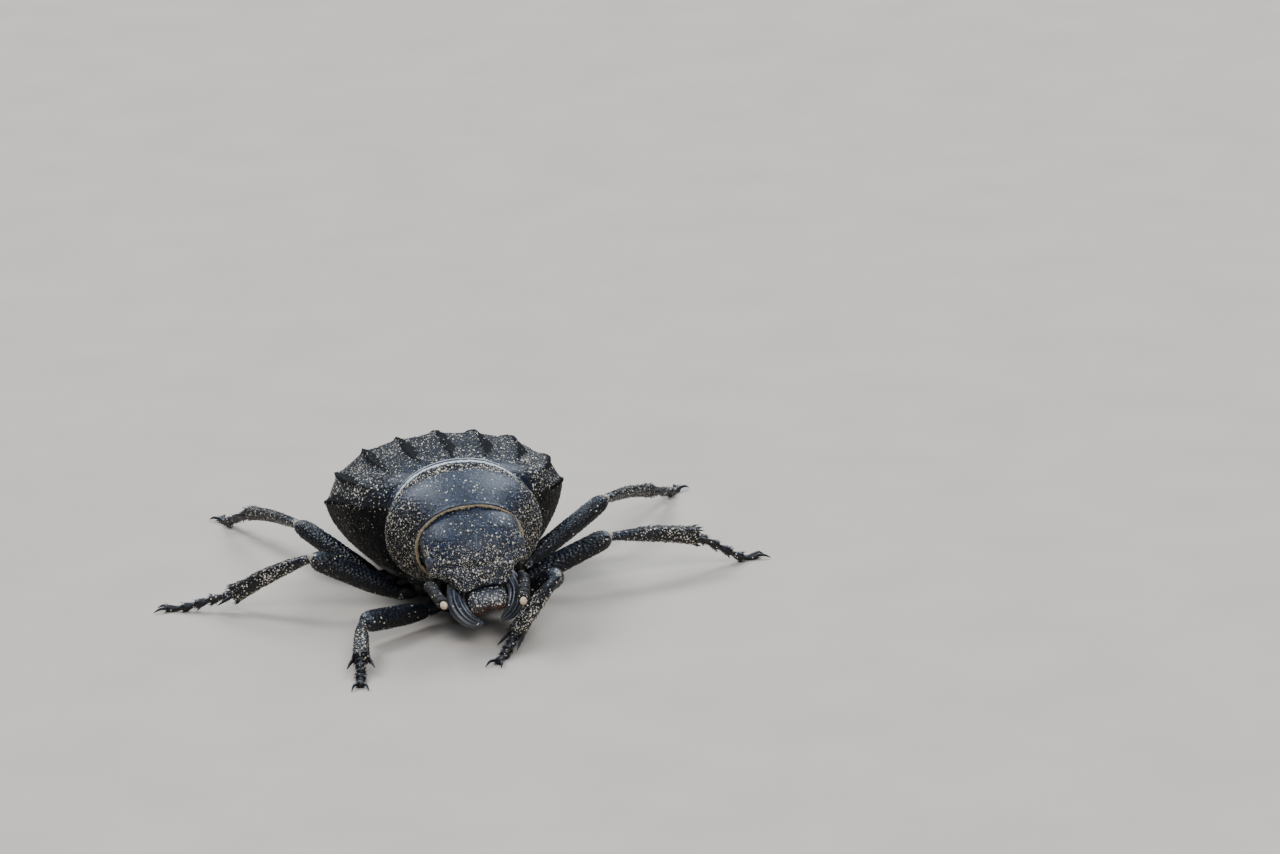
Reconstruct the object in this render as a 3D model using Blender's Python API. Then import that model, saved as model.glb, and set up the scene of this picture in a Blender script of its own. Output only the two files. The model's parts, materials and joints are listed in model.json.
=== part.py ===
"""A darkling beetle of the genus Pimelia, life size, head bent down and legs spread.

The beetle looks along -Y, its left side is +X and it stands on the plane z = 0. Sizes are in
millimetres up to the point where a mesh is made. Until the last line the origin lies on the floor under
the hind margin of the pronotum; place_on_origin() then moves it under the middle of the whole animal.
"""

from math import cos, pi, radians, sin

import bmesh
import bpy
from mathutils import Matrix, Vector

MM = 0.001  # every mesh is made at this scale
UPWARD = Vector((0, 0, 1))

# --- clearances between neighbouring pieces ---------------------------------------------------------
SEAM = 0.2  # body plates and leg joints
FINE_SEAM = 0.1  # eyes and mouthparts
SHARP_ANGLE = 40  # degrees between faces, above which an edge is shaded sharp

# --- the body, in the middle plane -------------------------------------------------------------------
BELLY_Z = 1.0  # lowest line of the sternum
HIND_MARGIN_TOP = 7.75  # the pronotum where it meets the elytra
HIND_MARGIN_HALF_WIDTH = 3.45
PRONOTUM_HALF_WIDTH = 3.9
FRONT_RIM_TOP = Vector((0.0, -4.0, 6.6))  # the front opening of the pronotum leans forward
FRONT_RIM_BOTTOM = Vector((0.0, -2.2, 2.0))
FRONT_RIM_HALF_WIDTH = 2.75

ELYTRA_LENGTH = 13.6
ELYTRA_HALF_WIDTH = 6.0
ELYTRA_WIDEST_Y = 5.0
SHOULDER_HALF_WIDTH = 3.6
LOWER_EDGE_SHARE = 0.72  # of the half width, where the wing cases end on the underside
RIDGE_SPOTS = (0.0, 0.333, 0.645, 0.9, 1.0)  # suture, three ridges and the margin, as shares of the width
RIDGE_HEIGHTS = (1.0, 0.94, 0.8, 0.45, 0.0)  # the same, as shares of the height above the margin
VALLEY_DEPTH = 0.18  # of the hollows between the ridges
FLANK_BULGE = 0.055  # of the side below the margin
ABDOMEN_START_Y = 5.3

HEAD_PITCH = 58  # degrees below the level, from the crown to the mouth
HEAD_ROLL = 8  # degrees, the left cheek up
HEAD_PIVOT = Vector((0.0, -4.9, 4.5))
EYE_CENTRE = (2.2, 2.34, -0.38)  # across, along and above the line from crown to mouth
EYE_RADII = (0.34, 0.42, 0.34)
# Each antenna comes out under the cheek and reaches forward beside the jaw.
ANTENNA_PATHS = {
    "left": ((2.1, -4.8, 3.0), (2.22, -5.5, 3.1), (2.12, -6.6, 3.05), (1.94, -7.6, 2.93), (1.8, -8.3, 2.83)),
    "right": ((-2.3, -4.8, 2.85), (-2.36, -5.6, 3.1), (-2.34, -6.6, 3.1), (-2.26, -7.6, 3.05), (-2.18, -8.3, 3)),
}

# --- legs -------------------------------------------------------------------------------------------
# For each pair: femur, tibia and tarsus length, thickest femur radius, tibia radius at its end and the
# number of joints in the tarsus.
LEG_SIZES = {
    "front": (4.5, 3.9, 2.6, 0.60, 0.42, 5),
    "middle": (5.3, 4.8, 3.8, 0.60, 0.50, 5),
    "hind": (6.4, 6.2, 4.4, 0.53, 0.42, 4),
}
COXA_CENTRES = {"front": (1.1, -1.7, 1.2), "middle": (1.8, 1.5, 1.1), "hind": (2.2, 4.45, 1.05)}
COXA_RADII = {"front": (0.72, 0.72, 0.72), "middle": (0.75, 0.72, 0.72), "hind": (1.15, 0.58, 0.62)}
HIPS = {"front": (2.15, -2.0, 0.75), "middle": (2.9, 1.4, 0.6), "hind": (3.65, 4.6, 0.47)}
# Headings in degrees: how far back from straight out to the side, and the rise, for femur, tibia, tarsus.
LEG_POSE = {
    ("right", "front"): ((-36, 7), (-81, -9), (-81, -11)),
    ("right", "middle"): ((-4, 29), (31, -27), (20, -11)),
    ("right", "hind"): ((54, 18), (73, -9), (73, -18)),
    ("left", "front"): ((-61, 30), (-143, -34), (-121, -11)),
    ("left", "middle"): ((-2, 23), (15, -10), (16, -23)),
    ("left", "hind"): ((33, 20), (59, -13), (59, -16)),
}
SIDES = {"left": 1, "right": -1}
SOLE_Z = 0.0  # the flats of all six feet
LYING_LENGTH = 0.9  # of each foot, along the floor
SOLE_DEPTH = 0.05  # how far the round foot is pressed flat
THINNEST_RADIUS = 0.25


# --- small tools --------------------------------------------------------------------------------------
def smooth(stations, t):
    """The value at t on a smooth line through (t, value) pairs, which never overshoots them."""
    if t <= stations[0][0]:
        return stations[0][1]
    for (t0, v0), (t1, v1) in zip(stations, stations[1:]):
        if t <= t1:
            s = (t - t0) / (t1 - t0)
            before, after = slope(stations, t0), slope(stations, t1)
            h = t1 - t0
            return (
                v0 * (2 * s**3 - 3 * s**2 + 1)
                + v1 * (3 * s**2 - 2 * s**3)
                + h * before * (s**3 - 2 * s**2 + s)
                + h * after * (s**3 - s**2)
            )
    return stations[-1][1]


def slope(stations, t):
    """The slope of smooth() at one of its stations."""
    i = [s[0] for s in stations].index(t)
    steps = [(b[1] - a[1]) / (b[0] - a[0]) for a, b in zip(stations, stations[1:])]
    if i in (0, len(stations) - 1):
        return steps[min(i, len(steps) - 1)]
    left, right = steps[i - 1], steps[i]
    if left * right <= 0:
        return 0.0
    return 2 * left * right / (left + right)


def curve_through(points, t):
    """A point at share t of a Catmull-Rom curve through the points."""
    spans = len(points) - 1
    i = min(int(t * spans), spans - 1)
    s = t * spans - i
    p1, p2 = points[i], points[i + 1]
    p0 = points[i - 1] if i else 2 * p1 - p2
    p3 = points[i + 2] if i + 2 <= spans else 2 * p2 - p1
    return 0.5 * (
        2 * p1 + (p2 - p0) * s + (2 * p0 - 5 * p1 + 4 * p2 - p3) * s**2 + (3 * p1 - p0 - 3 * p2 + p3) * s**3
    )


def rounded(angle, power):
    """(cosine, sine) pushed out to a superellipse of that power."""
    c, s = cos(angle), sin(angle)
    size = (abs(c) ** power + abs(s) ** power) ** (-1 / power)
    return c * size, s * size


def ring(centre, across, up, half_width, top, bottom, count, power=2.0, phase=0.0):
    """A closed loop of points round centre, top above it and bottom below, turned by phase of a step."""
    points = []
    for k in range(count):
        c, s = rounded(2 * pi * (k + phase) / count, power)
        points.append(centre + across * (half_width * c) + up * ((top if s > 0 else bottom) * s))
    return points


def make_object(name, mesh, material, at=Vector()):
    """A node at that place, held by the beetle's empty."""
    thing = bpy.data.objects.new(name, mesh)
    bpy.context.scene.collection.objects.link(thing)
    thing.parent = BEETLE
    thing.location = at * MM
    mesh.materials.append(material)
    mesh.shade_smooth()
    mesh.set_sharp_from_angle(angle=radians(SHARP_ANGLE))
    return thing


def skin(name, rings, material, at=Vector(), start_tip=None, end_tip=None):
    """A closed body through the rings, each end closed flat or drawn out to its tip."""
    bm = bmesh.new()
    loops = [[bm.verts.new((p - at) * MM) for p in loop] for loop in rings]
    count = len(loops[0])
    for near, far in zip(loops, loops[1:]):
        for k in range(count):
            n = (k + 1) % count
            bm.faces.new((near[k], near[n], far[n], far[k]))
    for loop, tip in ((loops[0], start_tip), (loops[-1], end_tip)):
        if tip is None:
            bm.faces.new(loop)
        else:
            end = bm.verts.new((tip - at) * MM)
            for k in range(count):
                bm.faces.new((loop[k], loop[(k + 1) % count], end))
    bmesh.ops.recalc_face_normals(bm, faces=bm.faces)
    if bm.calc_volume(signed=True) < 0:
        bmesh.ops.reverse_faces(bm, faces=bm.faces)
    mesh = bpy.data.meshes.new(name)
    bm.to_mesh(mesh)
    bm.free()
    return make_object(name, mesh, material, at)


def ball(name, centre, radii, material, grow=0.0, turn=None, subdivisions=2):
    """An ellipsoid, larger by grow all round."""
    bm = bmesh.new()
    bmesh.ops.create_icosphere(bm, subdivisions=subdivisions, radius=1.0)
    shape = Matrix.Diagonal(Vector([(r + grow) * MM for r in radii] + [1.0]))
    bmesh.ops.transform(bm, matrix=(turn or Matrix.Identity(4)) @ shape, verts=bm.verts)
    mesh = bpy.data.meshes.new(name)
    bm.to_mesh(mesh)
    bm.free()
    return make_object(name, mesh, material, centre)


def limb(
    name, path, width, thickness, material, rings=9, sides=10, face=UPWARD, tips=(0.5, 0.5), phase=0.0
):
    """A tapering body along a smooth path. width(t) and thickness(t) are its half sizes at share t, and
    tips say how far each end bulges past its last ring, as shares of the half width there."""
    loops, centres = [], []
    for k in range(rings):
        t = k / (rings - 1)
        centre = curve_through(path, t)
        ahead = (curve_through(path, min(1, t + 0.02)) - curve_through(path, max(0, t - 0.02))).normalized()
        across = ahead.cross(face).normalized()
        up = across.cross(ahead)
        loops.append(ring(centre, across, up, width(t), thickness(t), thickness(t), sides, phase=phase))
        centres.append((centre, ahead))
    (first, out), (last, on) = centres[0], centres[-1]
    start, end = first - out * width(0) * tips[0], last + on * width(1) * tips[1]
    return skin(name, loops, material, at=path[0].copy(), start_tip=start, end_tip=end)


def as_tool(thing):
    """Hides an object that only cuts or is joined to another."""
    thing.hide_render = True
    thing.display_type = "WIRE"
    return thing


def boolean(target, tool, operation):
    modifier = target.modifiers.new(operation.lower(), "BOOLEAN")
    modifier.operation = operation
    modifier.object = as_tool(tool)


def paint(name, colour, roughness, metallic=0.0):
    material = bpy.data.materials.new(name)
    material.use_nodes = True
    shader = material.node_tree.nodes["Principled BSDF"]
    shader.inputs["Base Color"].default_value = (*colour, 1.0)
    shader.inputs["Roughness"].default_value = roughness
    shader.inputs["Metallic"].default_value = metallic
    return material


# --- body plates -------------------------------------------------------------------------------------
def elytron_sizes(y):
    """Half width and the heights of top, margin and lower edge of the wing cases, y behind their base."""
    if y < ELYTRA_WIDEST_Y:
        share = max(0.0, y / ELYTRA_WIDEST_Y) ** 0.8
        half = SHOULDER_HALF_WIDTH + (ELYTRA_HALF_WIDTH - SHOULDER_HALF_WIDTH) * sin(pi / 2 * share)
    else:
        share = (y - ELYTRA_WIDEST_Y) / (ELYTRA_LENGTH - ELYTRA_WIDEST_Y)
        half = ELYTRA_HALF_WIDTH * max(0.0, 1 - share**2.3) ** (1 / 2.1)
    top = smooth([(0, 7.3), (2.5, 7.5), (5.5, 7.55), (8.5, 6.9), (11, 5.5), (12.8, 3.8), (13.6, 2.6)], y)
    margin = smooth([(0, 5.6), (3.5, 5.15), (6.5, 4.25), (9, 3.65), (11, 3.2), (13.6, 2.3)], y)
    edge = smooth([(0, 2.1), (6, 1.9), (11, 1.95), (13.6, 2.0)], y)
    return half, top, margin, edge


def ridge_strength(y):
    """How far the ridges stand out: not at all at the base and on the steep hind slope."""
    return smooth([(0.6, 0.0), (3.2, 1.0), (9.5, 1.0), (12.6, 0.0)], y)


def elytron_outline(y):
    """(x, z) points of the left wing case at y, from the suture out and down to the lower edge."""
    half, top, margin, edge = elytron_sizes(y)
    strength = ridge_strength(y)
    ridges = [Vector((half * x, 0, margin + (top - margin) * z)) for x, z in zip(RIDGE_SPOTS, RIDGE_HEIGHTS)]
    points = []
    for inner, outer in zip(ridges, ridges[1:]):
        outward = (outer - inner).cross(Vector((0, 1, 0))).normalized()
        outward = outward if outward.z > 0 else -outward
        size = (outer - inner).length / 2.0
        for share in (0.0, 0.3, 0.7):
            hump = 4 * share * (1 - share) * size * (0.14 * (1 - strength) - VALLEY_DEPTH * strength)
            points.append(inner.lerp(outer, share) + outward * hump)
    low = Vector((LOWER_EDGE_SHARE * half, 0, edge))
    side = Vector((0.8, 0, -0.6))
    for share in (0.0, 0.2, 0.45, 0.72):
        points.append(ridges[-1].lerp(low, share) + side * (4 * share * (1 - share) * FLANK_BULGE * half))
    points.append(low)
    return points


def floor_of_elytra(y):
    """Half width and height of the flat underside of the wing cases, over the venter."""
    half, _, _, edge = elytron_sizes(y)
    return 0.56 * half, edge + 0.45


def elytra_stations():
    """Distances behind the base, closer together where the outline turns."""
    return [0.0, 0.5, 1.1, 1.9, 3.0, 4.4, 6.0, 7.6, 9.0, 10.2, 11.2, 12.0, 12.6, 13.05, 13.35, 13.53]


def elytron(name, side):
    rings = []
    for y in elytra_stations():
        outer = elytron_outline(y)
        inner_x, inner_z = floor_of_elytra(y)
        inside = [Vector((inner_x, 0, inner_z)), Vector((0, 0, inner_z))]
        loop = [Vector((side * max(p.x, SEAM / 2), y + SEAM, p.z)) for p in outer + inside]
        rings.append(loop)
    return skin(name, rings, SHELL)


def venter_ring(y, low):
    """The section of the underside at y, down to low."""
    half, _, _, edge = elytron_sizes(y)
    inner_x, inner_z = floor_of_elytra(y)
    wide = LOWER_EDGE_SHARE * half - SEAM - 0.12
    points = [Vector((inner_x - SEAM, y, inner_z - SEAM)), Vector((wide, y, edge - 0.05))]
    for k in range(1, 6):
        angle = pi / 2 * k / 6
        points.append(Vector((wide * cos(angle), y, edge - 0.05 - (edge - 0.05 - low) * sin(angle))))
    right = [Vector((-p.x, p.y, p.z)) for p in reversed(points)]
    return points + [Vector((0, y, low))] + right


def belly(y):
    return smooth([(0, BELLY_Z), (6, BELLY_Z), (10, 1.15), (12.2, 1.45), (13.6, 1.75)], y)


def pterothorax():
    """The sternum between the middle and hind legs."""
    stations = (0.3, 1.2, 2.3, 3.4, 4.4, ABDOMEN_START_Y - SEAM)
    body = skin("pterothorax", [venter_ring(y, belly(y)) for y in stations], VENTER)
    for pair in ("middle", "hind"):
        cut_sockets(body, pair)
    return body


def abdomen():
    """Five plates, each a little raised at its hind edge."""
    edges = (ABDOMEN_START_Y, 7.2, 8.8, 10.2, 11.5, 13.0)
    rings = []
    for front, back in zip(edges, edges[1:]):
        rings.append(venter_ring(front, belly(front) + 0.1))
        rings.append(venter_ring(back - 0.22, belly(back) - 0.02))
    rings.append(venter_ring(edges[-1], belly(edges[-1]) + 0.1))
    return skin("abdomen", rings, VENTER)


def pronotum_ring(share):
    """The section of the first thorax ring: upright at the elytra, leaning forward at the head."""
    rear_top, rear_bottom = Vector((0, 0, HIND_MARGIN_TOP)), Vector((0, 0, 1.25))
    top = rear_top.lerp(FRONT_RIM_TOP, share) + Vector((0, 0, 0.35 * sin(pi * share) ** 0.9))
    bottom = rear_bottom.lerp(FRONT_RIM_BOTTOM, share)
    half = smooth(
        [(0, HIND_MARGIN_HALF_WIDTH), (0.4, PRONOTUM_HALF_WIDTH), (1, FRONT_RIM_HALF_WIDTH)], share
    )
    middle = bottom.lerp(top, smooth([(0, 0.52), (0.4, 0.5), (1, 0.5)], share))
    up = top - middle
    down = middle - bottom
    return ring(middle, Vector((1, 0, 0)), up.normalized(), half, up.length, down.length, 32, 2.15)


def pronotum():
    """The first thorax ring, with the opening that takes the head and the sockets of the front legs."""
    shares = (0.0, 0.05, 0.15, 0.28, 0.42, 0.58, 0.74, 0.88, 0.96, 1.0)
    body = skin("pronotum", [pronotum_ring(s) for s in shares], SHELL)
    boolean(body, head_capsule("head_socket", SEAM), "DIFFERENCE")
    cut_sockets(body, "front")
    return body


# --- head --------------------------------------------------------------------------------------------
def head_axes():
    """The directions across the head, along it from crown to mouth, and out of its upper surface."""
    pitch, roll = radians(HEAD_PITCH), Matrix.Rotation(-radians(HEAD_ROLL), 3, "Y")
    level = Vector((1, 0, 0)), Vector((0, -cos(pitch), -sin(pitch))), Vector((0, -sin(pitch), cos(pitch)))
    return [roll @ axis for axis in level]


def on_head(across, along, above):
    """A point given in the head's own directions, from the top of the front rim of the pronotum."""
    sideways, forward, up = head_axes()
    crown = Matrix.Rotation(-radians(HEAD_ROLL), 3, "Y") @ (FRONT_RIM_TOP - HEAD_PIVOT) + HEAD_PIVOT
    return crown + sideways * across + forward * along + up * above


def head_capsule(name, grow=0.0):
    """The head from the neck to the front edge of the clypeus, larger by grow all round."""
    half_width = [(-0.9, 1.2), (-0.5, 1.7), (0.3, 2.08), (1.4, 2.36), (2.9, 2.36), (3.5, 1.66), (4.15, 1.1)]
    above = [(-0.9, -1.3), (-0.5, -0.85), (0.0, -0.42), (1.0, 0.25), (2.1, 0.5), (3.2, 0.32), (4.15, -0.02)]
    below = [(-0.9, -2.0), (-0.2, -2.7), (1.2, -3.0), (2.6, -2.5), (3.4, -1.5), (3.8, -0.85), (4.15, -0.42)]
    stations = (-0.9, -0.6, -0.1, 0.5, 1.2, 1.9, 2.5, 2.9, 3.25, 3.6, 3.9, 4.15)
    sideways, forward, up = head_axes()
    rings = []
    for t in stations:
        level = smooth(below, t) + 0.62 * (smooth(above, t) - smooth(below, t))
        centre = on_head(0, t, level)
        sizes = smooth(half_width, t), smooth(above, t) - level, level - smooth(below, t)
        squareness = smooth([(0.2, 1.95), (2.0, 2.25)], t)
        rings.append(ring(centre, sideways, up, *(size + grow for size in sizes), 26, squareness))
    if grow:
        rings = [[p - forward * grow for p in rings[0]]] + rings
    return skin(name, rings, SHELL)


def eye_place(side):
    return on_head(side * EYE_CENTRE[0], EYE_CENTRE[1], EYE_CENTRE[2])


def head_turn():
    """The rotation from the level frame to the head's own directions."""
    return Matrix.Rotation(-radians(HEAD_ROLL), 4, "Y") @ Matrix.Rotation(radians(HEAD_PITCH), 4, "X")


def head():
    capsule = head_capsule("head")
    for name, side in SIDES.items():
        socket = ball(f"eye_socket_{name}", eye_place(side), EYE_RADII, SHELL, FINE_SEAM, head_turn())
        boolean(capsule, socket, "DIFFERENCE")
    return capsule


def labrum():
    """The upper lip, a curved plate that hangs from the clypeus."""
    stations = [(4.3, 0.72, 0.2), (4.45, 0.86, 0.25), (4.8, 0.93, 0.27), (5.15, 0.86, 0.24), (5.4, 0.62, 0.18)]
    sideways, _, up = head_axes()
    rings = [
        ring(on_head(0, t, -0.12 - 0.12 * (t - 4.3)), sideways, up, half, thick, thick, 14, 3.0)
        for t, half, thick in stations
    ]
    return skin("labrum", rings, MOUTH)


def mandible(name, side):
    """A stout curved jaw beside the upper lip, its tip bent inward below it."""
    path = [
        on_head(side * 1.38, 4.2, -1.1),
        on_head(side * 1.42, 4.7, -0.85),
        on_head(side * 1.15, 5.3, -0.8),
        on_head(side * 0.5, 5.75, -0.8),
    ]
    thick = [(0, 0.45), (0.4, 0.42), (0.8, 0.27), (1, 0.16)]
    wide = [(0, 0.34), (0.4, 0.36), (0.8, 0.25), (1, 0.16)]
    return limb(
        f"mandible_{name}", path, lambda t: smooth(wide, t), lambda t: smooth(thick, t), MOUTH,
        rings=7, sides=8, face=head_axes()[2],
    )


def palp(name, side):
    """A short feeler behind the jaw."""
    path = [on_head(side * 1.25, 3.75, -1.95), on_head(side * 1.55, 4.35, -2.1), on_head(side * 1.5, 5.0, -1.95)]
    beads = lambda t: THINNEST_RADIUS + 0.05 * abs(sin(pi * 3 * t))
    return limb(f"palp_{name}", path, beads, beads, FEELER, rings=7, sides=6)


def antenna(name):
    """Ten bead-like joints; the eleventh, which is pale, is a piece of its own."""
    path = [Vector(point) for point in ANTENNA_PATHS[name]]
    joints = 9
    beads = lambda t: THINNEST_RADIUS + 0.05 * abs(sin(pi * joints * t)) ** 0.7
    feeler = limb(f"antenna_{name}", path, beads, beads, FEELER, rings=2 * joints + 1, sides=7, tips=(0.2, 0.2))
    ahead = (path[-1] - path[-2]).normalized()
    start = path[-1] + ahead * (THINNEST_RADIUS * 0.2 + FINE_SEAM)
    tip = lambda t: smooth([(0, 0.25), (0.5, 0.27), (1, 0.2)], t)
    limb(
        f"antenna_tip_{name}", [start, start + ahead * 0.22, start + ahead * 0.42], tip, tip, PALE,
        rings=4, sides=8, tips=(0.15, 0.5),
    )
    return feeler


# --- legs --------------------------------------------------------------------------------------------
def heading(side, back, rise):
    """A direction back degrees behind straight sideways and rise degrees up."""
    b, r = radians(back), radians(rise)
    return Vector((side * cos(b) * cos(r), sin(b) * cos(r), sin(r)))


def coxa_place(pair, side):
    x, y, z = COXA_CENTRES[pair]
    return Vector((side * x, y, z))


def cut_sockets(body, pair):
    for name, side in SIDES.items():
        socket = ball(f"socket_{pair}_{name}", coxa_place(pair, side), COXA_RADII[pair], VENTER, SEAM)
        boolean(body, socket, "DIFFERENCE")


def femur(name, hip, ahead, length, radius):
    profile = [(0, 0.3), (0.12, 0.38), (0.6, radius), (0.85, 0.94 * radius), (1, 0.62 * radius)]
    end = length - 0.25
    path = [hip, hip + ahead * end / 2, hip + ahead * end]
    width = lambda t: smooth(profile, t)
    return limb(name, path, width, lambda t: 0.92 * width(t), LEG, rings=9, sides=10, tips=(0.4, 0.55))


def tibia(name, knee, thigh_ahead, ahead, length, radius):
    """The shin, bent a little at its base and widening to an apex that carries two spurs. Its start
    moves away from the knee as the knee bends, to stay clear of the femur."""
    start = knee + ahead * (0.22 + 0.33 * (1 - ahead.dot(thigh_ahead)))
    ankle = knee + ahead * (length - 0.1)
    bow = Vector((0, 0, 0.1))
    path = [start, start.lerp(ankle, 0.5) + bow, ankle]
    width = lambda t: smooth([(0, 0.27), (0.5, 0.36), (0.85, 0.85 * radius), (1, radius)], t)
    shin = limb(name, path, width, lambda t: 0.92 * width(t), LEG, rings=7, sides=9, tips=(0.5, 0.1))
    across = ahead.cross(UPWARD).normalized()
    for mark, lean in (("a", 1), ("b", -1)):
        root = ankle + across * (lean * 0.7 * radius) - ahead * 0.2
        tip = root + ahead * 0.9 + across * (lean * 0.45)
        tip.z = max(tip.z - 0.15, 0.16)
        spur = limb(
            f"{name}_spur_{mark}", [root, root.lerp(tip, 0.5), tip],
            lambda t: 0.15 - 0.08 * t, lambda t: 0.15 - 0.08 * t, LEG, rings=3, sides=5,
        )
        boolean(shin, spur, "UNION")
    return shin


def tarsus(name, ankle, toe, joints):
    """A chain of short joints down to the floor, on which the last one lies flat. It ends in two claws."""
    ahead = (toe - ankle).normalized()
    level = Vector((ahead.x, ahead.y, 0)).normalized()
    start, bend = ankle + ahead * 0.3, toe - level * LYING_LENGTH + Vector((0, 0, 0.03))
    path = [start, start.lerp(bend, 0.5), bend, toe]
    beads = lambda t: THINNEST_RADIUS + 0.06 * abs(sin(pi * joints * t)) ** 0.6
    foot = limb(name, path, beads, beads, LEG, rings=2 * joints + 1, sides=8, tips=(0.2, 0.4), phase=0.5)
    across = ahead.cross(UPWARD).normalized()
    for mark, lean in (("a", 1), ("b", -1)):
        root = toe + across * (lean * 0.08) - level * 0.12
        tip = toe + level * 0.5 + across * (lean * 0.42)
        middle = root.lerp(tip, 0.5) + Vector((0, 0, 0.06))
        root.z, tip.z = toe.z, 0.13
        claw = limb(
            f"{name}_claw_{mark}", [root, middle, tip],
            lambda t: 0.13 - 0.06 * t, lambda t: 0.13 - 0.06 * t, LEG, rings=4, sides=5,
        )
        boolean(foot, claw, "UNION")
    flatten_sole(foot)
    return foot


def flatten_sole(foot):
    """Presses the lowest points of a foot level with the floor, so that it stands on a small flat."""
    lowest = SOLE_Z * MM - foot.location.z
    for vertex in foot.data.vertices:
        vertex.co.z = max(vertex.co.z, lowest)


def leg(side_name, pair):
    side = SIDES[side_name]
    thigh, shin, foot, radius, end, joints = LEG_SIZES[pair]
    directions = [heading(side, *angles) for angles in LEG_POSE[side_name, pair]]
    hip = Vector((side * HIPS[pair][0], *HIPS[pair][1:]))
    knee = hip + directions[0] * thigh
    ankle = knee + directions[1] * shin
    toe = ankle + directions[2] * foot
    toe.z = SOLE_Z + THINNEST_RADIUS - SOLE_DEPTH
    tag = f"{pair}_{side_name}"
    ball(f"coxa_{tag}", coxa_place(pair, side), COXA_RADII[pair], LEG)
    femur(f"femur_{tag}", hip, directions[0], thigh, radius)
    tibia(f"tibia_{tag}", knee, directions[0], directions[1], shin, end)
    tarsus(f"tarsus_{tag}", ankle, toe, joints)


# --- the animal --------------------------------------------------------------------------------------
def place_on_origin():
    """Moves the whole beetle so that the origin is on the floor, under the middle of its outline."""
    bpy.context.view_layer.update()
    graph = bpy.context.evaluated_depsgraph_get()
    corners = []
    for thing in BEETLE.children:
        if not thing.hide_render:
            solid = thing.evaluated_get(graph)
            corners += [solid.matrix_world @ v.co for v in solid.data.vertices]
    low = [min(c[i] for c in corners) for i in range(3)]
    high = [max(c[i] for c in corners) for i in range(3)]
    BEETLE.location = (-(low[0] + high[0]) / 2, -(low[1] + high[1]) / 2, -low[2])
    bpy.context.view_layer.update()


def build():
    pronotum()
    head()
    labrum()
    pterothorax()
    abdomen()
    for name, side in SIDES.items():
        elytron(f"elytron_{name}", side)
        ball(f"eye_{name}", eye_place(side), EYE_RADII, EYE, 0.0, head_turn())
        mandible(name, side)
        palp(name, side)
        antenna(name)
        for pair in LEG_SIZES:
            leg(name, pair)
    place_on_origin()


for old in list(bpy.data.objects):
    bpy.data.objects.remove(old)
BEETLE = bpy.data.objects.new("beetle", None)
bpy.context.scene.collection.objects.link(BEETLE)
SHELL = paint("shell", (0.018, 0.020, 0.026), 0.42)
VENTER = paint("venter", (0.014, 0.014, 0.016), 0.55)
LEG = paint("leg", (0.014, 0.015, 0.020), 0.45)
MOUTH = paint("mouth", (0.016, 0.016, 0.019), 0.4)
FEELER = paint("feeler", (0.035, 0.028, 0.024), 0.55)
PALE = paint("feeler_tip", (0.55, 0.42, 0.30), 0.6)
EYE = paint("eye", (0.010, 0.010, 0.014), 0.15)
build()
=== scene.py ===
"""The looks of the darkling beetle: every plate, leg and feeler as a dense skin over its CAD solid.

Shapes are worked out in the beetle's own frame, in millimetres: it looks along -Y, its left is +X, the
floor is z = 0 and the origin is under the hind margin of the pronotum. SHIFT then moves them into the
row frame. A skin is a grid of points (rows along the piece, columns round it) that is raised or
lowered along its normals by seeded patterns of granules, pits and scales.
"""

import json
from itertools import product
from math import cos, pi, radians, sin

import bpy
import numpy as np
from mathutils import Matrix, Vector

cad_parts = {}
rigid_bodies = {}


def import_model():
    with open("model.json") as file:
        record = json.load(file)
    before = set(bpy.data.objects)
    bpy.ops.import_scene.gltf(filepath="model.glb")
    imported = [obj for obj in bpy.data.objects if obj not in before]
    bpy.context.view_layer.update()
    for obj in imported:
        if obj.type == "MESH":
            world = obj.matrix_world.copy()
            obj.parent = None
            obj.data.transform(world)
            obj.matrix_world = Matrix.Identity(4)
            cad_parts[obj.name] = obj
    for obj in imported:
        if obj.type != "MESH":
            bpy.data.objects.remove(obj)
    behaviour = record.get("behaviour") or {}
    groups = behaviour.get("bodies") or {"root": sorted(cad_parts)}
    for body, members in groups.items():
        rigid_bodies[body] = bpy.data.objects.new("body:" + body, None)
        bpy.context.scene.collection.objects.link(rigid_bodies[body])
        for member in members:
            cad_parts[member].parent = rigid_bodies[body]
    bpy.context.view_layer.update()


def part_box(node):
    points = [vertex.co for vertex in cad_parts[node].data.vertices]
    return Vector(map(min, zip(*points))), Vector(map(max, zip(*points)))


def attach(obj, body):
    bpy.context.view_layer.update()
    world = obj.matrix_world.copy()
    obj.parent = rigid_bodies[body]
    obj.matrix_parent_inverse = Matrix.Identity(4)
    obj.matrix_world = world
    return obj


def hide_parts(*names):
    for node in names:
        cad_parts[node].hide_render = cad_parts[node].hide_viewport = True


for old in list(bpy.data.objects):
    bpy.data.objects.remove(old)
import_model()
MM = 0.001
STEP = 0.05  # distance between the points of a skin
SUTURE_CLEARANCE = 0.1  # from the middle plane to each wing case of the CAD
SHIFT = np.array([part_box("elytron_left")[0].x / MM - SUTURE_CLEARANCE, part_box("pronotum")[1].y / MM, 0.0])
SIDES = {"left": 1, "right": -1}
FLOOR_Z = 0.0


# --- numbers ---
def column(values):
    return np.reshape(values, (-1, 1))


def length(v):
    return np.linalg.norm(v, axis=-1, keepdims=True)


def unit(v):
    return v / np.maximum(length(v), 1e-12)


def turns(count):
    """The angles of the columns round a ring."""
    return 2 * pi * np.arange(count) / count


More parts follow.
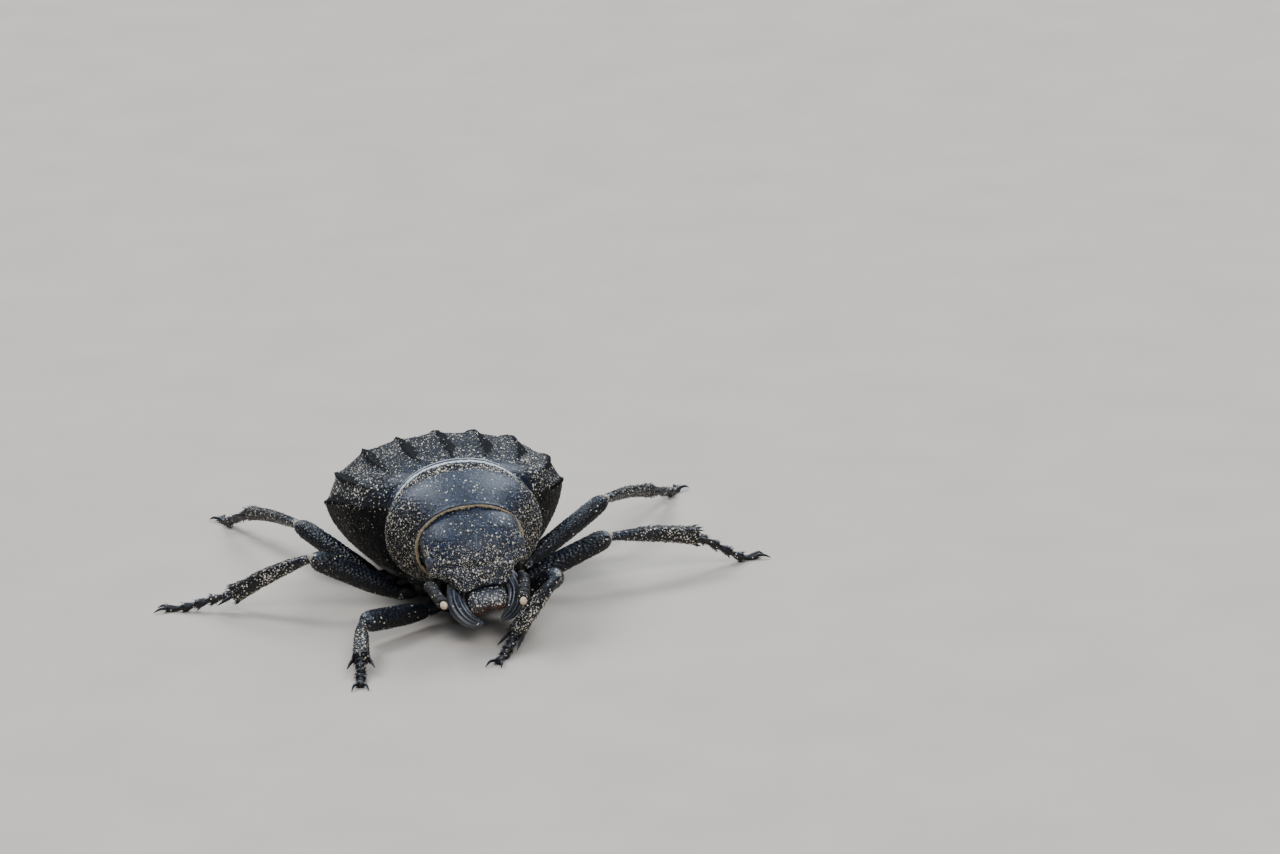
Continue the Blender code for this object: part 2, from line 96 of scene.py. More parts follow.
def smooth(stations, t):
    """The values at t on a smooth line through (t, value) pairs, which never overshoots them."""
    x, v = np.array(stations, float).T
    rise = np.diff(v) / np.diff(x)
    slope = np.concatenate([rise[:1], np.zeros(len(x) - 2), rise[-1:]])
    same = rise[:-1] * rise[1:] > 0
    slope[1:-1][same] = (2 * rise[:-1] * rise[1:])[same] / (rise[:-1] + rise[1:])[same]
    t = np.clip(t, x[0], x[-1])
    i = np.clip(np.searchsorted(x, t, side="right") - 1, 0, len(x) - 2)
    h = x[i + 1] - x[i]
    s = (t - x[i]) / h
    return (
        v[i] * (2 * s**3 - 3 * s**2 + 1) + v[i + 1] * (3 * s**2 - 2 * s**3)
        + h * slope[i] * (s**3 - 2 * s**2 + s) + h * slope[i + 1] * (s**3 - s**2)
    )


def step(value, low, high):
    """0 below low, 1 above high and a smooth slope between."""
    s = np.clip((value - low) / (high - low), 0, 1)
    return s * s * (3 - 2 * s)


def bell(distance, width):
    return np.exp(-((distance / width) ** 2))


def curve_through(points, t):
    """Points at shares t of a Catmull-Rom curve through the points."""
    p = np.array(points, float)
    p = np.concatenate([2 * p[:1] - p[1:2], p, 2 * p[-1:] - p[-2:-1]])
    spans = len(p) - 3
    i = np.minimum((t * spans).astype(int), spans - 1)
    s = column(t * spans - i)
    a, b, c, d = p[i], p[i + 1], p[i + 2], p[i + 3]
    return 0.5 * (2 * b + (c - a) * s + (2 * a - 5 * b + 4 * c - d) * s**2 + (3 * b - a - 3 * c + d) * s**3)


def bent_line(corners, t):
    """Points at shares t of a bent line through the corners, with the same share for each span."""
    corners = np.array(corners)
    spot = t * (len(corners) - 1)
    i = np.minimum(spot.astype(int), len(corners) - 2)
    return corners[i] + (corners[i + 1] - corners[i]) * column(spot - i)


# What scramble mixes a cell's numbers with.
AXIS_FACTORS = (73856093, 19349663, 83492791)
SEED_FACTOR = 2654435761
LOW_BITS = np.uint64(0xFFFFFFFF)
SHIFTS = np.array([15, 13, 8], np.uint64)
FACTORS = np.array([2246822519, 3266489917], np.uint64)
RANGE = float(1 << 24)


def scramble(cell, seed, count=4):
    """Random numbers from 0 to 1 that belong to whole-number cells, the same on every run."""
    x, y, z = np.moveaxis(cell * AXIS_FACTORS, -1, 0)
    h = (x ^ y ^ z ^ (seed * SEED_FACTOR)).astype(np.uint64) & LOW_BITS
    out = []
    for _ in range(count):
        for shift, factor in zip(SHIFTS, FACTORS):
            h = ((h ^ (h >> shift)) * factor) & LOW_BITS
        out.append((h >> SHIFTS[2]) / RANGE)
    return out


def cells(points, size, seed):
    """Distances to the nearest and second nearest of scattered spots, in sizes, and the nearest's number."""
    q = points / size
    base = np.floor(q).astype(np.int64)
    first, second = np.full(q.shape[:-1], 9.0), np.full(q.shape[:-1], 9.0)
    own = np.zeros(q.shape[:-1])
    for offset in product((-1, 0, 1), repeat=3):
        cell = base + np.array(offset)
        x, y, z, number = scramble(cell, seed)
        d = np.sqrt(((cell - q + np.stack([x, y, z], -1)) ** 2).sum(-1))
        second = np.where(d < first, first, np.minimum(second, d))
        own = np.where(d < first, number, own)
        first = np.minimum(first, d)
    return first, second, own


def granules(points, size, seed, reach):
    """Separate rounded grains about size apart: 0 between them and 1 on top."""
    first, _, own = cells(points, size, seed)
    return np.sqrt(np.clip(1 - (first / (reach * (0.7 + 0.6 * own))) ** 2, 0, 1))


def pits(points, size, seed, width, bare):
    """Small round pits about size apart: 1 in the middle of each. A share bare of them is left out."""
    first, _, own = cells(points, size, seed)
    return bell(first, width) * (own > bare)


def scales(grid, size, seed, ahead):
    """Low scale-like fields parted by fine grooves, a little longer along the limb."""
    squeezed = grid - (grid @ ahead)[..., None] * ahead * 0.3
    first, second, _ = cells(squeezed, size, seed)
    return step(second - first, 0.02, 0.28) * (0.6 + 0.4 * np.cos(first))


def noise(points, size, seed):
    """Soft random values from -1 to 1."""
    q = points / size
    base = np.floor(q).astype(np.int64)
    s = q - base
    s = s * s * (3 - 2 * s)
    total = 0
    for offset in product((0, 1), repeat=3):
        weight = np.prod([s[..., k] if offset[k] else 1 - s[..., k] for k in range(3)], axis=0)
        total = total + weight * scramble(base + np.array(offset), seed, 1)[0]
    return 2 * total - 1


def dusty_patches(points, size, seed, middle=0.6):
    """How much dust lies there, from 0 to 1."""
    return np.clip(middle + 0.6 * noise(points, size, seed), 0, 1)


# --- skins ---
def superellipse(count, power=2.0):
    """(cosines, sines) of a ring, pushed out to a superellipse. power may differ from row to row."""
    c, s = np.cos(turns(count)), np.sin(turns(count))
    power = column(power)
    size = (np.abs(c) ** power + np.abs(s) ** power) ** (-1 / power)
    return c * size, s * size


def rings(centre, across, up, half_width, top, bottom, count, power=2.0):
    """Rows of rings round centre, top above it and bottom below."""
    c, s = superellipse(count, power)
    rise = np.where(s > 0, column(top), column(bottom)) * s
    spread = (column(half_width) * c)[..., None] * np.reshape(across, (-1, 1, 3))
    return np.reshape(centre, (-1, 1, 3)) + spread + rise[..., None] * np.reshape(up, (-1, 1, 3))


def ball(rows, columns, hole):
    """A unit ball round Z, open by the angle hole at both poles."""
    angle = column(np.linspace(hole, pi - hole, rows))
    c, s = superellipse(columns)
    return np.stack([np.sin(angle) * c, np.sin(angle) * s, np.cos(angle) + 0 * c], -1)


def along_limb(rows):
    """The share of the way along a limb at each of its rows."""
    return column(np.linspace(0, 1, rows))


def limb(path, width, thickness, columns, face=(0, 0, 1), power=2.0):
    """A body along a smooth path, with half its width and thickness given for each row."""
    t = np.linspace(0, 1, len(width))
    ahead = unit(curve_through(path, np.minimum(1, t + 0.01)) - curve_through(path, np.maximum(0, t - 0.01)))
    across = unit(np.cross(ahead, face))
    up = np.cross(across, ahead)
    return rings(curve_through(path, t), across, up, width, thickness, thickness, columns, power)


def tube(path, radii, rows, columns):
    """A round limb. radii are (share of the way, radius) pairs."""
    radius = smooth(radii, along_limb(rows))
    return limb(path, radius, radius, columns)


def facing(grid):
    """Unit normals of a grid that is closed round its rows, and whether they point out of it."""
    around = np.roll(grid, -1, 1) - np.roll(grid, 1, 1)
    normals = unit(np.cross(around, np.gradient(grid, axis=0)))
    return normals, (normals * (grid - grid.mean(1, keepdims=True))).sum() > 0


def outward(grid):
    normals, out = facing(grid)
    return normals if out else -normals


def raised(grid, height):
    return grid + outward(grid) * height[..., None]


MARKS = ("speck", "polish_and_painted_light", "open")  # how specked, how polished with painted shade, sheen and highlights on it, and how open to the sky (painted sky light) a point is


class Shape:
    """One mesh, made of grids and loose little bodies."""

    def __init__(self):
        self.points, self.marks, self.loops, self.sizes, self.uvs = [], [], [], [], []
        self.count = 0

    def add(self, points, faces, marks=(0.0, 0.0, 0.0), uv=None):
        """Points and arrays of faces that number them. uv has a place on the unwrap for each point."""
        self.points.append(points)
        self.marks.append(np.broadcast_to(marks, (len(points), len(MARKS))))
        for face in faces:
            self.loops.append((face + self.count).ravel())
            self.sizes.append(np.full(len(face), face.shape[1]))
            if uv is not None:
                self.uvs.append(uv[face.ravel()])
        self.count += len(points)
        return self

    def grid(self, grid, speck=0.0, polish_and_painted_light=0.0, tips=(0.0, 0.0)):
        """A closed body through the rows. Each end is drawn out by its tip."""
        rows, columns = grid.shape[:2]
        index = np.arange(rows * columns).reshape(rows, columns)
        beside = np.roll(index, -1, 1)
        quads = np.stack([index[:-1], beside[:-1], beside[1:], index[1:]], -1).reshape(-1, 4)
        first, last = np.full(columns, rows * columns), np.full(columns, rows * columns + 1)
        fans = [np.stack([first, beside[0], index[0]], -1), np.stack([index[-1], beside[-1], last], -1)]
        points = [grid.reshape(-1, 3)]
        for end, near, tip in ((0, 1, tips[0]), (-1, -2, tips[1])):
            middle = grid[end].mean(0)
            points.append([middle + unit(middle - grid[near].mean(0)) * tip])
        normals, out = facing(grid)
        faces = [quads, *fans] if out else [face[:, ::-1] for face in (quads, *fans)]
        # Faces up: the chitin materials paint sky light where this is high.
        to_sky = step(normals[..., 2] if out else -normals[..., 2], -0.25, 0.65)
        marks = np.stack(np.broadcast_arrays(speck, polish_and_painted_light, to_sky), -1).reshape(-1, len(MARKS))
        return self.add(np.concatenate(points), faces, np.concatenate([marks, marks[:1], marks[-1:]]))

    def piece(self, name, material, nodes=(), slot=None, flat=False):
        """The finished object, riding on the beetle and standing for those CAD nodes. flat keeps edges."""
        mesh = bpy.data.meshes.new(name)
        points = ((np.concatenate(self.points) + SHIFT) * MM).astype(np.float32)
        points[:, 2] = np.maximum(points[:, 2], FLOOR_Z)
        loops, sizes = np.concatenate(self.loops), np.concatenate(self.sizes)
        mesh.vertices.add(len(points))
        mesh.vertices.foreach_set("co", points.ravel())
        mesh.loops.add(len(loops))
        mesh.loops.foreach_set("vertex_index", loops.astype(np.int32))
        mesh.polygons.add(len(sizes))
        mesh.polygons.foreach_set("loop_start", (np.cumsum(sizes) - sizes).astype(np.int32))
        mesh.update(calc_edges=True)
        for mark, values in zip(MARKS, np.concatenate(self.marks).T):
            made = mesh.attributes.new(mark, "FLOAT", "POINT")
            made.data.foreach_set("value", values.astype(np.float32))
        if self.uvs:
            unwrap = mesh.uv_layers.new(name="OFBake")
            unwrap.data.foreach_set("uv", np.concatenate(self.uvs).astype(np.float32).ravel())
        mesh.materials.append(material)
        if not flat:
            mesh.shade_smooth()
        thing = bpy.data.objects.new(name, mesh)
        bpy.context.scene.collection.objects.link(thing)
        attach(thing, "root")
        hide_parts(*nodes)


# --- materials ---
class Paint:
    """A procedural material. Its patterns are sized in millimetres of the object's own space."""

    def __init__(self, name, specular):
        self.material = bpy.data.materials.new(name)
        self.material.use_nodes = True
        self.tree = self.material.node_tree
        self.shader = self.tree.nodes["Principled BSDF"]
        self.shader.inputs["Specular IOR Level"].default_value = specular
        place = self.node("ShaderNodeTexCoord").outputs["Object"]
        self.place = self.node("ShaderNodeMapping", {"Vector": place, "Scale": (1 / MM,) * 3}).outputs[0]

    def feed(self, socket, value):
        """Link an output to the socket, or set a constant there. A colour is given as three numbers."""
        if isinstance(value, bpy.types.NodeSocket):
            self.tree.links.new(value, socket)
        else:
            socket.default_value = (*value, 1.0) if socket.type == "RGBA" else value

    def node(self, kind, inputs=(), **settings):
        """A new node. inputs maps its sockets, by name or number, to outputs and constants."""
        made = self.tree.nodes.new(kind)
        for key, value in settings.items():
            setattr(made, key, value)
        for key, value in dict(inputs).items():
            self.feed(made.inputs[key], value)
        return made

    def noise(self, size, detail=2.0):
        inputs = {"Vector": self.place, "Scale": 1 / size, "Detail": detail}
        return self.node("ShaderNodeTexNoise", inputs).outputs[0]

    def cells(self, size, place):
        return self.node("ShaderNodeTexVoronoi", {"Vector": place, "Scale": 1 / size}).outputs

    def pits(self, size):
        return self.cells(size, self.place)["Distance"]

    def mark(self, name):
        return self.node("ShaderNodeAttribute", attribute_name=name).outputs["Fac"]

    def range(self, value, low, high, to_low=0.0, to_high=1.0):
        inputs = dict(enumerate((value, low, high, to_low, to_high)))
        return self.node("ShaderNodeMapRange", inputs).outputs[0]

    def blend(self, share, first, second):
        return self.node("ShaderNodeMix", {0: share, 6: first, 7: second}, data_type="RGBA").outputs[2]

    def math(self, operation, first, second):
        return self.node("ShaderNodeMath", {0: first, 1: second}, operation=operation).outputs[0]

    def flecks(self, size, share, reach):
        """Ragged specks about size apart, on a share of the places that have room for one."""
        wobble = self.noise(size / 1.6).node.outputs["Color"]
        sway = {0: wobble, 1: (0.7 * size,) * 3, 2: self.place}
        swayed = self.node("ShaderNodeVectorMath", sway, operation="MULTIPLY_ADD").outputs[0]
        made = self.cells(size, swayed)
        own = self.node("ShaderNodeSeparateColor", {0: made["Color"]}).outputs
        far = self.math("MULTIPLY", made["Distance"], self.range(own[1], 0.0, 1.0, 0.75, 1.5))
        lit = self.math("LESS_THAN", own[0], share)
        bright = self.math("MULTIPLY", lit, self.range(own[2], 0.0, 1.0, 0.72, 1.0))
        return self.math("MULTIPLY", bright, self.range(far, reach, reach + 0.05, 1.0, 0.0))

    def bump(self, height, depth, under=None):
        """A normal for relief of depth millimetres, on top of the normal under."""
        inputs = {"Height": height, "Distance": depth * MM, "Strength": 1.0}
        if under:
            inputs["Normal"] = under
        return self.node("ShaderNodeBump", inputs).outputs[0]

    def finish(self, colour, roughness, normal=None):
        for socket, value in (("Base Color", colour), ("Roughness", roughness), ("Normal", normal)):
            if value:
                self.feed(self.shader.inputs[socket], value)
        return self.material


# Colours of the pale specks, which are partly dust and partly painted glints.
CREAM = (0.84, 0.70, 0.50)
CHALK = (0.97, 0.91, 0.80)
# Painted shade for pits, gaps between granules, grooves and the strips beside the ribs.
PAINTED_SHADE = (0.002, 0.002, 0.003)
# Painted sky sheen for polished skin that faces up.
PAINTED_SKY_SHEEN = (0.034, 0.050, 0.094)
# Painted highlight for the pronotum's hind bead and the top of the crown.
PAINTED_HIGHLIGHT = (0.88, 0.90, 0.94)


def chitin(name, dark, bloom_and_sky_light, roughness, specular, grain=0.05, depth=0.006):
    """Black shell with a bluish bloom and painted sky light where it lies open to the sky, and crisp pale
    specks, partly dust and partly painted glints. Its mark of polish and painted light is -1 for painted
    shade in pits, grooves and beside ribs, 0 on plain shell, 1 where it is polished with a painted sky sheen
    and 2 on painted highlights along edges."""
    paint = Paint(name, specular)
    speck, polish_and_painted_light = paint.mark("speck"), paint.mark("polish_and_painted_light")
    clouds = paint.range(paint.noise(1.0, 4.0), 0.32, 0.68, 0.4, 1.0)
    # Painted sky light: a lighter bluish colour where the skin faces up, clouded by noise.
    bare = paint.math("MULTIPLY", paint.mark("open"), clouds)
    body = paint.blend(bare, dark, bloom_and_sky_light)
    for share, colour in (
        # Painted sky sheen where polished skin faces up.
        (paint.math("MULTIPLY", bare, paint.range(polish_and_painted_light, 0.0, 1.0)), PAINTED_SKY_SHEEN),
        # Painted shade in the gaps between cells, in dark mottling and wherever the mark is below 0.
        (paint.range(paint.pits(0.12), 0.40, 0.70, 0.0, 0.85), PAINTED_SHADE),
        (paint.range(paint.noise(0.14), 0.48, 0.66, 0.0, 0.8), PAINTED_SHADE),
        (paint.range(polish_and_painted_light, 0.0, -1.0), PAINTED_SHADE),
        # Painted highlights where the mark is above 1.
        (paint.range(polish_and_painted_light, 1.0, 2.0), PAINTED_HIGHLIGHT),
    ):
        body = paint.blend(share, body, colour)
    # Pale specks: partly dust, partly painted glints on the granules.
    small = paint.flecks(0.085, paint.math("MULTIPLY", speck, 0.55), 0.34)
    flecks = paint.math("MAXIMUM", paint.flecks(0.125, speck, 0.33), small)
    tint = paint.blend(paint.range(paint.noise(0.2), 0.40, 0.60), CREAM, CHALK)
    rough = paint.range(paint.noise(0.10, 3.0), 0.3, 0.7, roughness - 0.05, roughness + 0.07)
    changes = (polish_and_painted_light, -0.3, -1.0, 0.45), (polish_and_painted_light, 0.0, 1.0, -0.09), (flecks, 0.0, 1.0, 0.3)
    for cause, low, high, change in changes:
        rough = paint.math("ADD", rough, paint.range(cause, low, high, 0.0, change))
    normal = paint.bump(paint.pits(grain * 2.2), depth, paint.bump(paint.noise(grain, 4.0), depth))
    return paint.finish(paint.blend(flecks, body, tint), rough, normal)


def horn(name, first, second, roughness, size=0.15, depth=0.004, specular=0.5):
    """Plain horn, hair or membrane, clouded between two colours."""
    paint = Paint(name, specular)
    colour = paint.blend(paint.range(paint.noise(size, 3.0), 0.35, 0.65), first, second)
    rough = paint.range(paint.noise(size / 2), 0.3, 0.7, roughness - 0.06, roughness + 0.08)
    return paint.finish(colour, rough, paint.bump(paint.noise(size / 3, 3.0), depth))


# Each bloom colour is partly a waxy bloom and partly painted sky light: it shows only where the skin faces
# up.
SHELL = chitin("shell_granulate", (0.003, 0.003, 0.005), (0.016, 0.022, 0.040), 0.46, 0.26)
# The flank is a darker, duller copy of the shell: partly its matte side wall, partly painted shade.
FLANK = chitin("shell_flank", (0.003, 0.0028, 0.003), (0.007, 0.006, 0.006), 0.50, 0.12)
DISC = chitin("shell_satin", (0.003, 0.004, 0.007), (0.028, 0.041, 0.078), 0.52, 0.40, 0.045, 0.007)
VENTER = chitin("venter", (0.006, 0.006, 0.008), (0.012, 0.010, 0.009), 0.52, 0.3, 0.06)
LEG = chitin("leg_scaly", (0.003, 0.003, 0.005), (0.010, 0.012, 0.021), 0.36, 0.42, 0.05, 0.005)
MOUTH = chitin("mouth_horn", (0.012, 0.014, 0.021), (0.062, 0.070, 0.105), 0.36, 0.8, 0.04, 0.004)
FEELER = chitin("feeler", (0.012, 0.010, 0.010), (0.040, 0.035, 0.036), 0.55, 0.35, 0.04, 0.004)
PALE = horn("feeler_tip", (0.76, 0.58, 0.41), (0.60, 0.43, 0.29), 0.5, 0.12)
EYE = horn("eye", (0.030, 0.034, 0.050), (0.060, 0.060, 0.074), 0.32, 0.2, 0.0)
MEMBRANE = horn("membrane", (0.26, 0.21, 0.16), (0.50, 0.42, 0.33), 0.5, 0.12)
GOLD = horn("fringe_gold", (0.86, 0.74, 0.52), (0.58, 0.44, 0.25), 0.55, 0.12)
RUST = horn("fringe_rust", (0.12, 0.034, 0.016), (0.06, 0.022, 0.012), 0.5, 0.2)
BRISTLE = horn("bristle", (0.020, 0.013, 0.010), (0.010, 0.008, 0.008), 0.45, 0.2)
DOWN = horn("down", (0.05, 0.038, 0.028), (0.025, 0.020, 0.017), 0.6, 0.3, 0.0, 0.3)
DUSTY_DOWN = horn("down_dusty", (0.20, 0.16, 0.115), (0.11, 0.085, 0.065), 0.6, 0.3, 0.0, 0.3)
SAND = horn("sand_dust", (0.88, 0.82, 0.72), (0.66, 0.54, 0.38), 0.7, 0.3)


# --- hairs and grains ---
PATCH = 0.0015  # half the width of a hair's or grain's patch on the unwrap
GRAIN_CORNERS = np.array([(1, 0, 0), (-1, 0, 0), (0, 1, 0), (0, -1, 0), (0, 0, 1), (0, 0, -1)])
GRAIN_RIM = ((0, 2), (2, 1), (1, 3), (3, 0))
GRAIN_FACES = np.array([(a, b, 4) for a, b in GRAIN_RIM] + [(b, a, 5) for a, b in GRAIN_RIM])
GRAIN_PATCH = np.array([(1, 0), (-1, 0), (0, 1), (0, -1), (0.5, 0.5), (-0.5, -0.5)])
DUST = Shape()


class Roots:
    """Places on a skin where little bodies grow, and the random numbers that they draw."""

    def __init__(self, points, normals, uv, random):
        self.points, self.normals, self.uv, self.random = points, normals, uv, random

    def draw(self, low, high):
        """A random number for each root, as a column."""
        return self.random.uniform(low, high, (len(self.points), 1))

    def grow(self, shape, points, faces, patch):
        """One body at each root: its points, and the faces and patch of a single body."""
        start = (np.arange(len(points)) * points.shape[1])[:, None, None]
        faces = [(start + face).reshape(-1, face.shape[1]) for face in faces]
        shape.add(points.reshape(-1, 3), faces, uv=(self.uv[:, None] + PATCH * patch).reshape(-1, 2))


def scattered(grid, weight, count, seed):
    """Random roots on a skin, denser where weight is high."""
    random = np.random.default_rng(seed)
    beside = np.roll(grid, -1, 1)
    area = length(beside - grid)[:-1, :, 0] * length(np.diff(grid, axis=0))[..., 0]
    chance = (area * np.broadcast_to(weight, grid.shape[:2])[:-1]).ravel()
    picked = random.choice(len(chance), count, p=chance / chance.sum())
    rows, columns = np.divmod(picked, grid.shape[1])
    s, t = random.random((2, count, 1))
    here = grid[rows, columns]
    points = here + (beside[rows, columns] - here) * s + (grid[rows + 1, columns] - here) * t
    uv = np.stack([(columns + 0.5) / grid.shape[1], (rows + 0.5) / grid.shape[0]], -1)
    return Roots(points, outward(grid)[rows, columns], uv, random)


def hairs(shape, roots, ways, lengths, width, droop=0.25, sides=3):
    """Curved tapering hairs. ways are their directions at the root."""
    ways = unit(ways)
    across = unit(np.cross(ways, unit(roots.normals + 0.01)))
    over = np.cross(across, ways)
    middle = roots.points + ways * lengths * 0.5
    tip = middle + unit(ways - roots.normals * droop) * lengths * 0.5
    angle = column(turns(sides))
    girth = (across[:, None] * np.cos(angle) + over[:, None] * np.sin(angle)) * column(width)[:, None] / 2
    foot = roots.points - ways * column(width)
    points = np.concatenate([foot[:, None] + girth, middle[:, None] + 0.75 * girth, tip[:, None]], 1)
    k = np.arange(sides)
    beside = (k + 1) % sides
    quads = np.stack([k, beside, beside + sides, k + sides], -1)
    ends = np.stack([k + sides, beside + sides, np.full(sides, 2 * sides)], -1)
    angle = turns(2 * sides + 1)
    roots.grow(shape, points, [quads, ends], np.stack([np.cos(angle), np.sin(angle)], -1))


def tufts(shape, skin, weight, way, *, count, seed, lift, lengths, width, droop=0.25, sides=3):
    """Hairs all over a skin, along way and lifted off the skin."""
    roots = scattered(skin, weight, count, seed)
    hairs(shape, roots, way + roots.normals * lift, roots.draw(*lengths), width, droop, sides)


def grains(roots, sizes):
    """Angular specks of dust, half sunk into the skin."""
    turned = unit(roots.random.normal(size=roots.points.shape))
    side = unit(np.cross(turned, roots.normals + 0.01))
    axes = np.stack([turned, side, np.cross(side, turned)], 1)
    stretch = roots.random.uniform(0.6, 1.1, (len(sizes), len(GRAIN_CORNERS), 1)) * sizes[:, None] / 2
    points = roots.points[:, None] + GRAIN_CORNERS @ axes * stretch
    roots.grow(DUST, points, [GRAIN_FACES], GRAIN_PATCH)


def dust(skin, weight, *, count, seed, sizes=(0.025, 0.065)):
    """Grains all over a skin."""
    roots = scattered(skin, weight, count, seed)
    grains(roots, roots.draw(*sizes))


# --- wing cases ---
ELYTRA_LENGTH = 13.6
ELYTRA_HALF_WIDTH = 6.0
ELYTRA_WIDEST_Y = 5.0
SHOULDER_HALF_WIDTH = 3.6
ELYTRA_TOPS = [(0, 7.3), (2.5, 7.5), (5.5, 7.55), (8.5, 6.9), (11, 5.5), (12.8, 3.8), (ELYTRA_LENGTH, 2.6)]
ELYTRA_MARGINS = [(0, 5.6), (3.5, 5.15), (6.5, 4.25), (9, 3.65), (11, 3.2), (ELYTRA_LENGTH, 2.3)]
ELYTRA_EDGES = [(0, 2.1), (6, 1.9), (11, 1.95), (ELYTRA_LENGTH, 2.0)]
ELYTRA_REAR = 10  # where the rows begin to crowd towards the tip
REAR_REACH = 3.59
LOWER_EDGE_SHARE = 0.72  # the lower edge's distance from the middle, as a share of the half width
INNER_WALL_SHARE = 0.56  # the same for the wall inside
# The suture, three ribs and the side margin: their distances from the middle as shares of the half
# width, and their heights as shares of the way up from the margin.
RIB_SPOTS = (0.0, 0.333, 0.645, 0.9, 1.0)
RIB_HEIGHTS = (1.0, 0.94, 0.8, 0.45, 0.0)
PANEL_WIDTHS = (2.0, 1.95, 1.8, 1.3)  # between neighbouring ribs, to space the columns by
FLANK_WIDTH = 3.4
INNER_COLUMNS = 24
TROUGH_DEPTH = 0.17  # of the hollows between the ribs, as a share of half their width
TROUGH_POWER = 5.0  # flat below and steep beside the ribs
FLANK_BULGE = 0.055
BASE_TUCK = 0.45  # how far the wing cases reach forward under the pronotum
SEAM = 0.2  # from the hind margin of the pronotum to the base of the wing cases
COLUMNS = [round(width / STEP) for width in (*PANEL_WIDTHS, FLANK_WIDTH)] + [INNER_COLUMNS]
MARGIN = sum(COLUMNS[:4])  # the column of the side margin
LOWER_EDGE = sum(COLUMNS[:5])


def elytron_sizes(y):
    """Half width and the heights of top, margin and lower edge of the wing cases, y behind their base."""
    if y < ELYTRA_WIDEST_Y:
        share = max(0.0, y / ELYTRA_WIDEST_Y) ** 0.8
        half = SHOULDER_HALF_WIDTH + (ELYTRA_HALF_WIDTH - SHOULDER_HALF_WIDTH) * sin(pi / 2 * share)
    else:
        share = (y - ELYTRA_WIDEST_Y) / (ELYTRA_LENGTH - ELYTRA_WIDEST_Y)
        half = ELYTRA_HALF_WIDTH * max(0.0, 1 - share**2.3) ** (1 / 2.1)
    return half, *(smooth(line, y) for line in (ELYTRA_TOPS, ELYTRA_MARGINS, ELYTRA_EDGES))


def elytron_row(y):
    """(points, distance past the nearest rib, less than 0 on its inner side) of the section at y: from the
    suture out over the ribs, down the flank and back inside."""
    half, top, margin, edge = elytron_sizes(y)
    strength = smooth([(0.6, 0.0), (3.2, 1.0), (9.5, 1.0), (12.6, 0.0)], y)
    ribs = [np.array([half * x, 0, margin + (top - margin) * z]) for x, z in zip(RIB_SPOTS, RIB_HEIGHTS)]
    points, past = [], []
    for inner, outer, columns in zip(ribs, ribs[1:], COLUMNS):
        s = column(np.arange(columns) / columns)
        away = unit(np.cross(outer - inner, (0, 1, 0)))
        away = away if away[2] > 0 else -away
        width = length(outer - inner)
        swell = 4 * s * (1 - s) * width / 2 * 0.14 * (1 - strength)
        trough = (1 - np.abs(2 * s - 1) ** TROUGH_POWER) * width / 2 * TROUGH_DEPTH * strength
        points.append(inner + (outer - inner) * s + away * (swell - trough))
        past.append(width * np.where(s < 0.5, s, s - 1))
    low = np.array([LOWER_EDGE_SHARE * half, 0, edge])
    s = column(np.arange(COLUMNS[4]) / COLUMNS[4])
    bulge = 4 * s * (1 - s) * FLANK_BULGE * half
    points.append(ribs[4] + (low - ribs[4]) * s + np.array([0.8, 0, -0.6]) * bulge)
    past.append(s * length(low - ribs[4]))
    roof = edge + 0.45
    inside = [low, (INNER_WALL_SHARE * half, 0, roof), (0.0, 0, roof), ribs[0] - (0, 0, 0.3)]
    points.append(bent_line(inside, np.arange(INNER_COLUMNS) / INNER_COLUMNS))
    past.append(np.full((INNER_COLUMNS, 1), 9.0))
    row = np.concatenate(points)
    row[:, 1] = y + SEAM
    return row, np.concatenate(past)[:, 0]


def elytron_form():
    """The left wing case before its sculpture, and how far past the nearest rib each point is."""
    tuck = np.linspace(1, 0, round(0.5 / STEP), endpoint=False)
    rear = np.linspace(0, pi / 2, round(4.4 / STEP))[1:]
    ys = np.linspace(0, ELYTRA_REAR, round(ELYTRA_REAR / STEP))
    ys = np.concatenate([0 * tuck, ys, ELYTRA_REAR + REAR_REACH * np.sin(rear)])
    grid, past = (np.array(each) for each in zip(*[elytron_row(y) for y in ys]))
    base, turn = grid[: len(tuck)], column(tuck) * pi / 2
    # The base curls down and runs forward, under the pronotum.
    base[..., 1] -= BASE_TUCK * np.sin(turn)
    base[..., 0] *= 1 - 0.10 * (1 - np.cos(turn))
    base[..., 2] -= (base[..., 2] - 3.5) * 0.12 * (1 - np.cos(turn))
    return grid, past


def painted_rib_shade(skin, past, side):
    """Painted shade in a strip along each rib, widest behind the shoulders and wider on the beetle's left,
    away from the key light.
    """
    y = skin[..., 1]
    wide = 0.55 * np.clip((y - 1.1) / 2.8, 0, 1) * (1 - 0.55 * step(y, 3.5, 8.5))
    wide = wide * np.where(past * side > 0, 1.0, 0.4)
    return step(wide - np.abs(past) + 0.10 * noise(skin, 0.25, 8), 0, 0.14) * step(y, 1.1, 1.7)


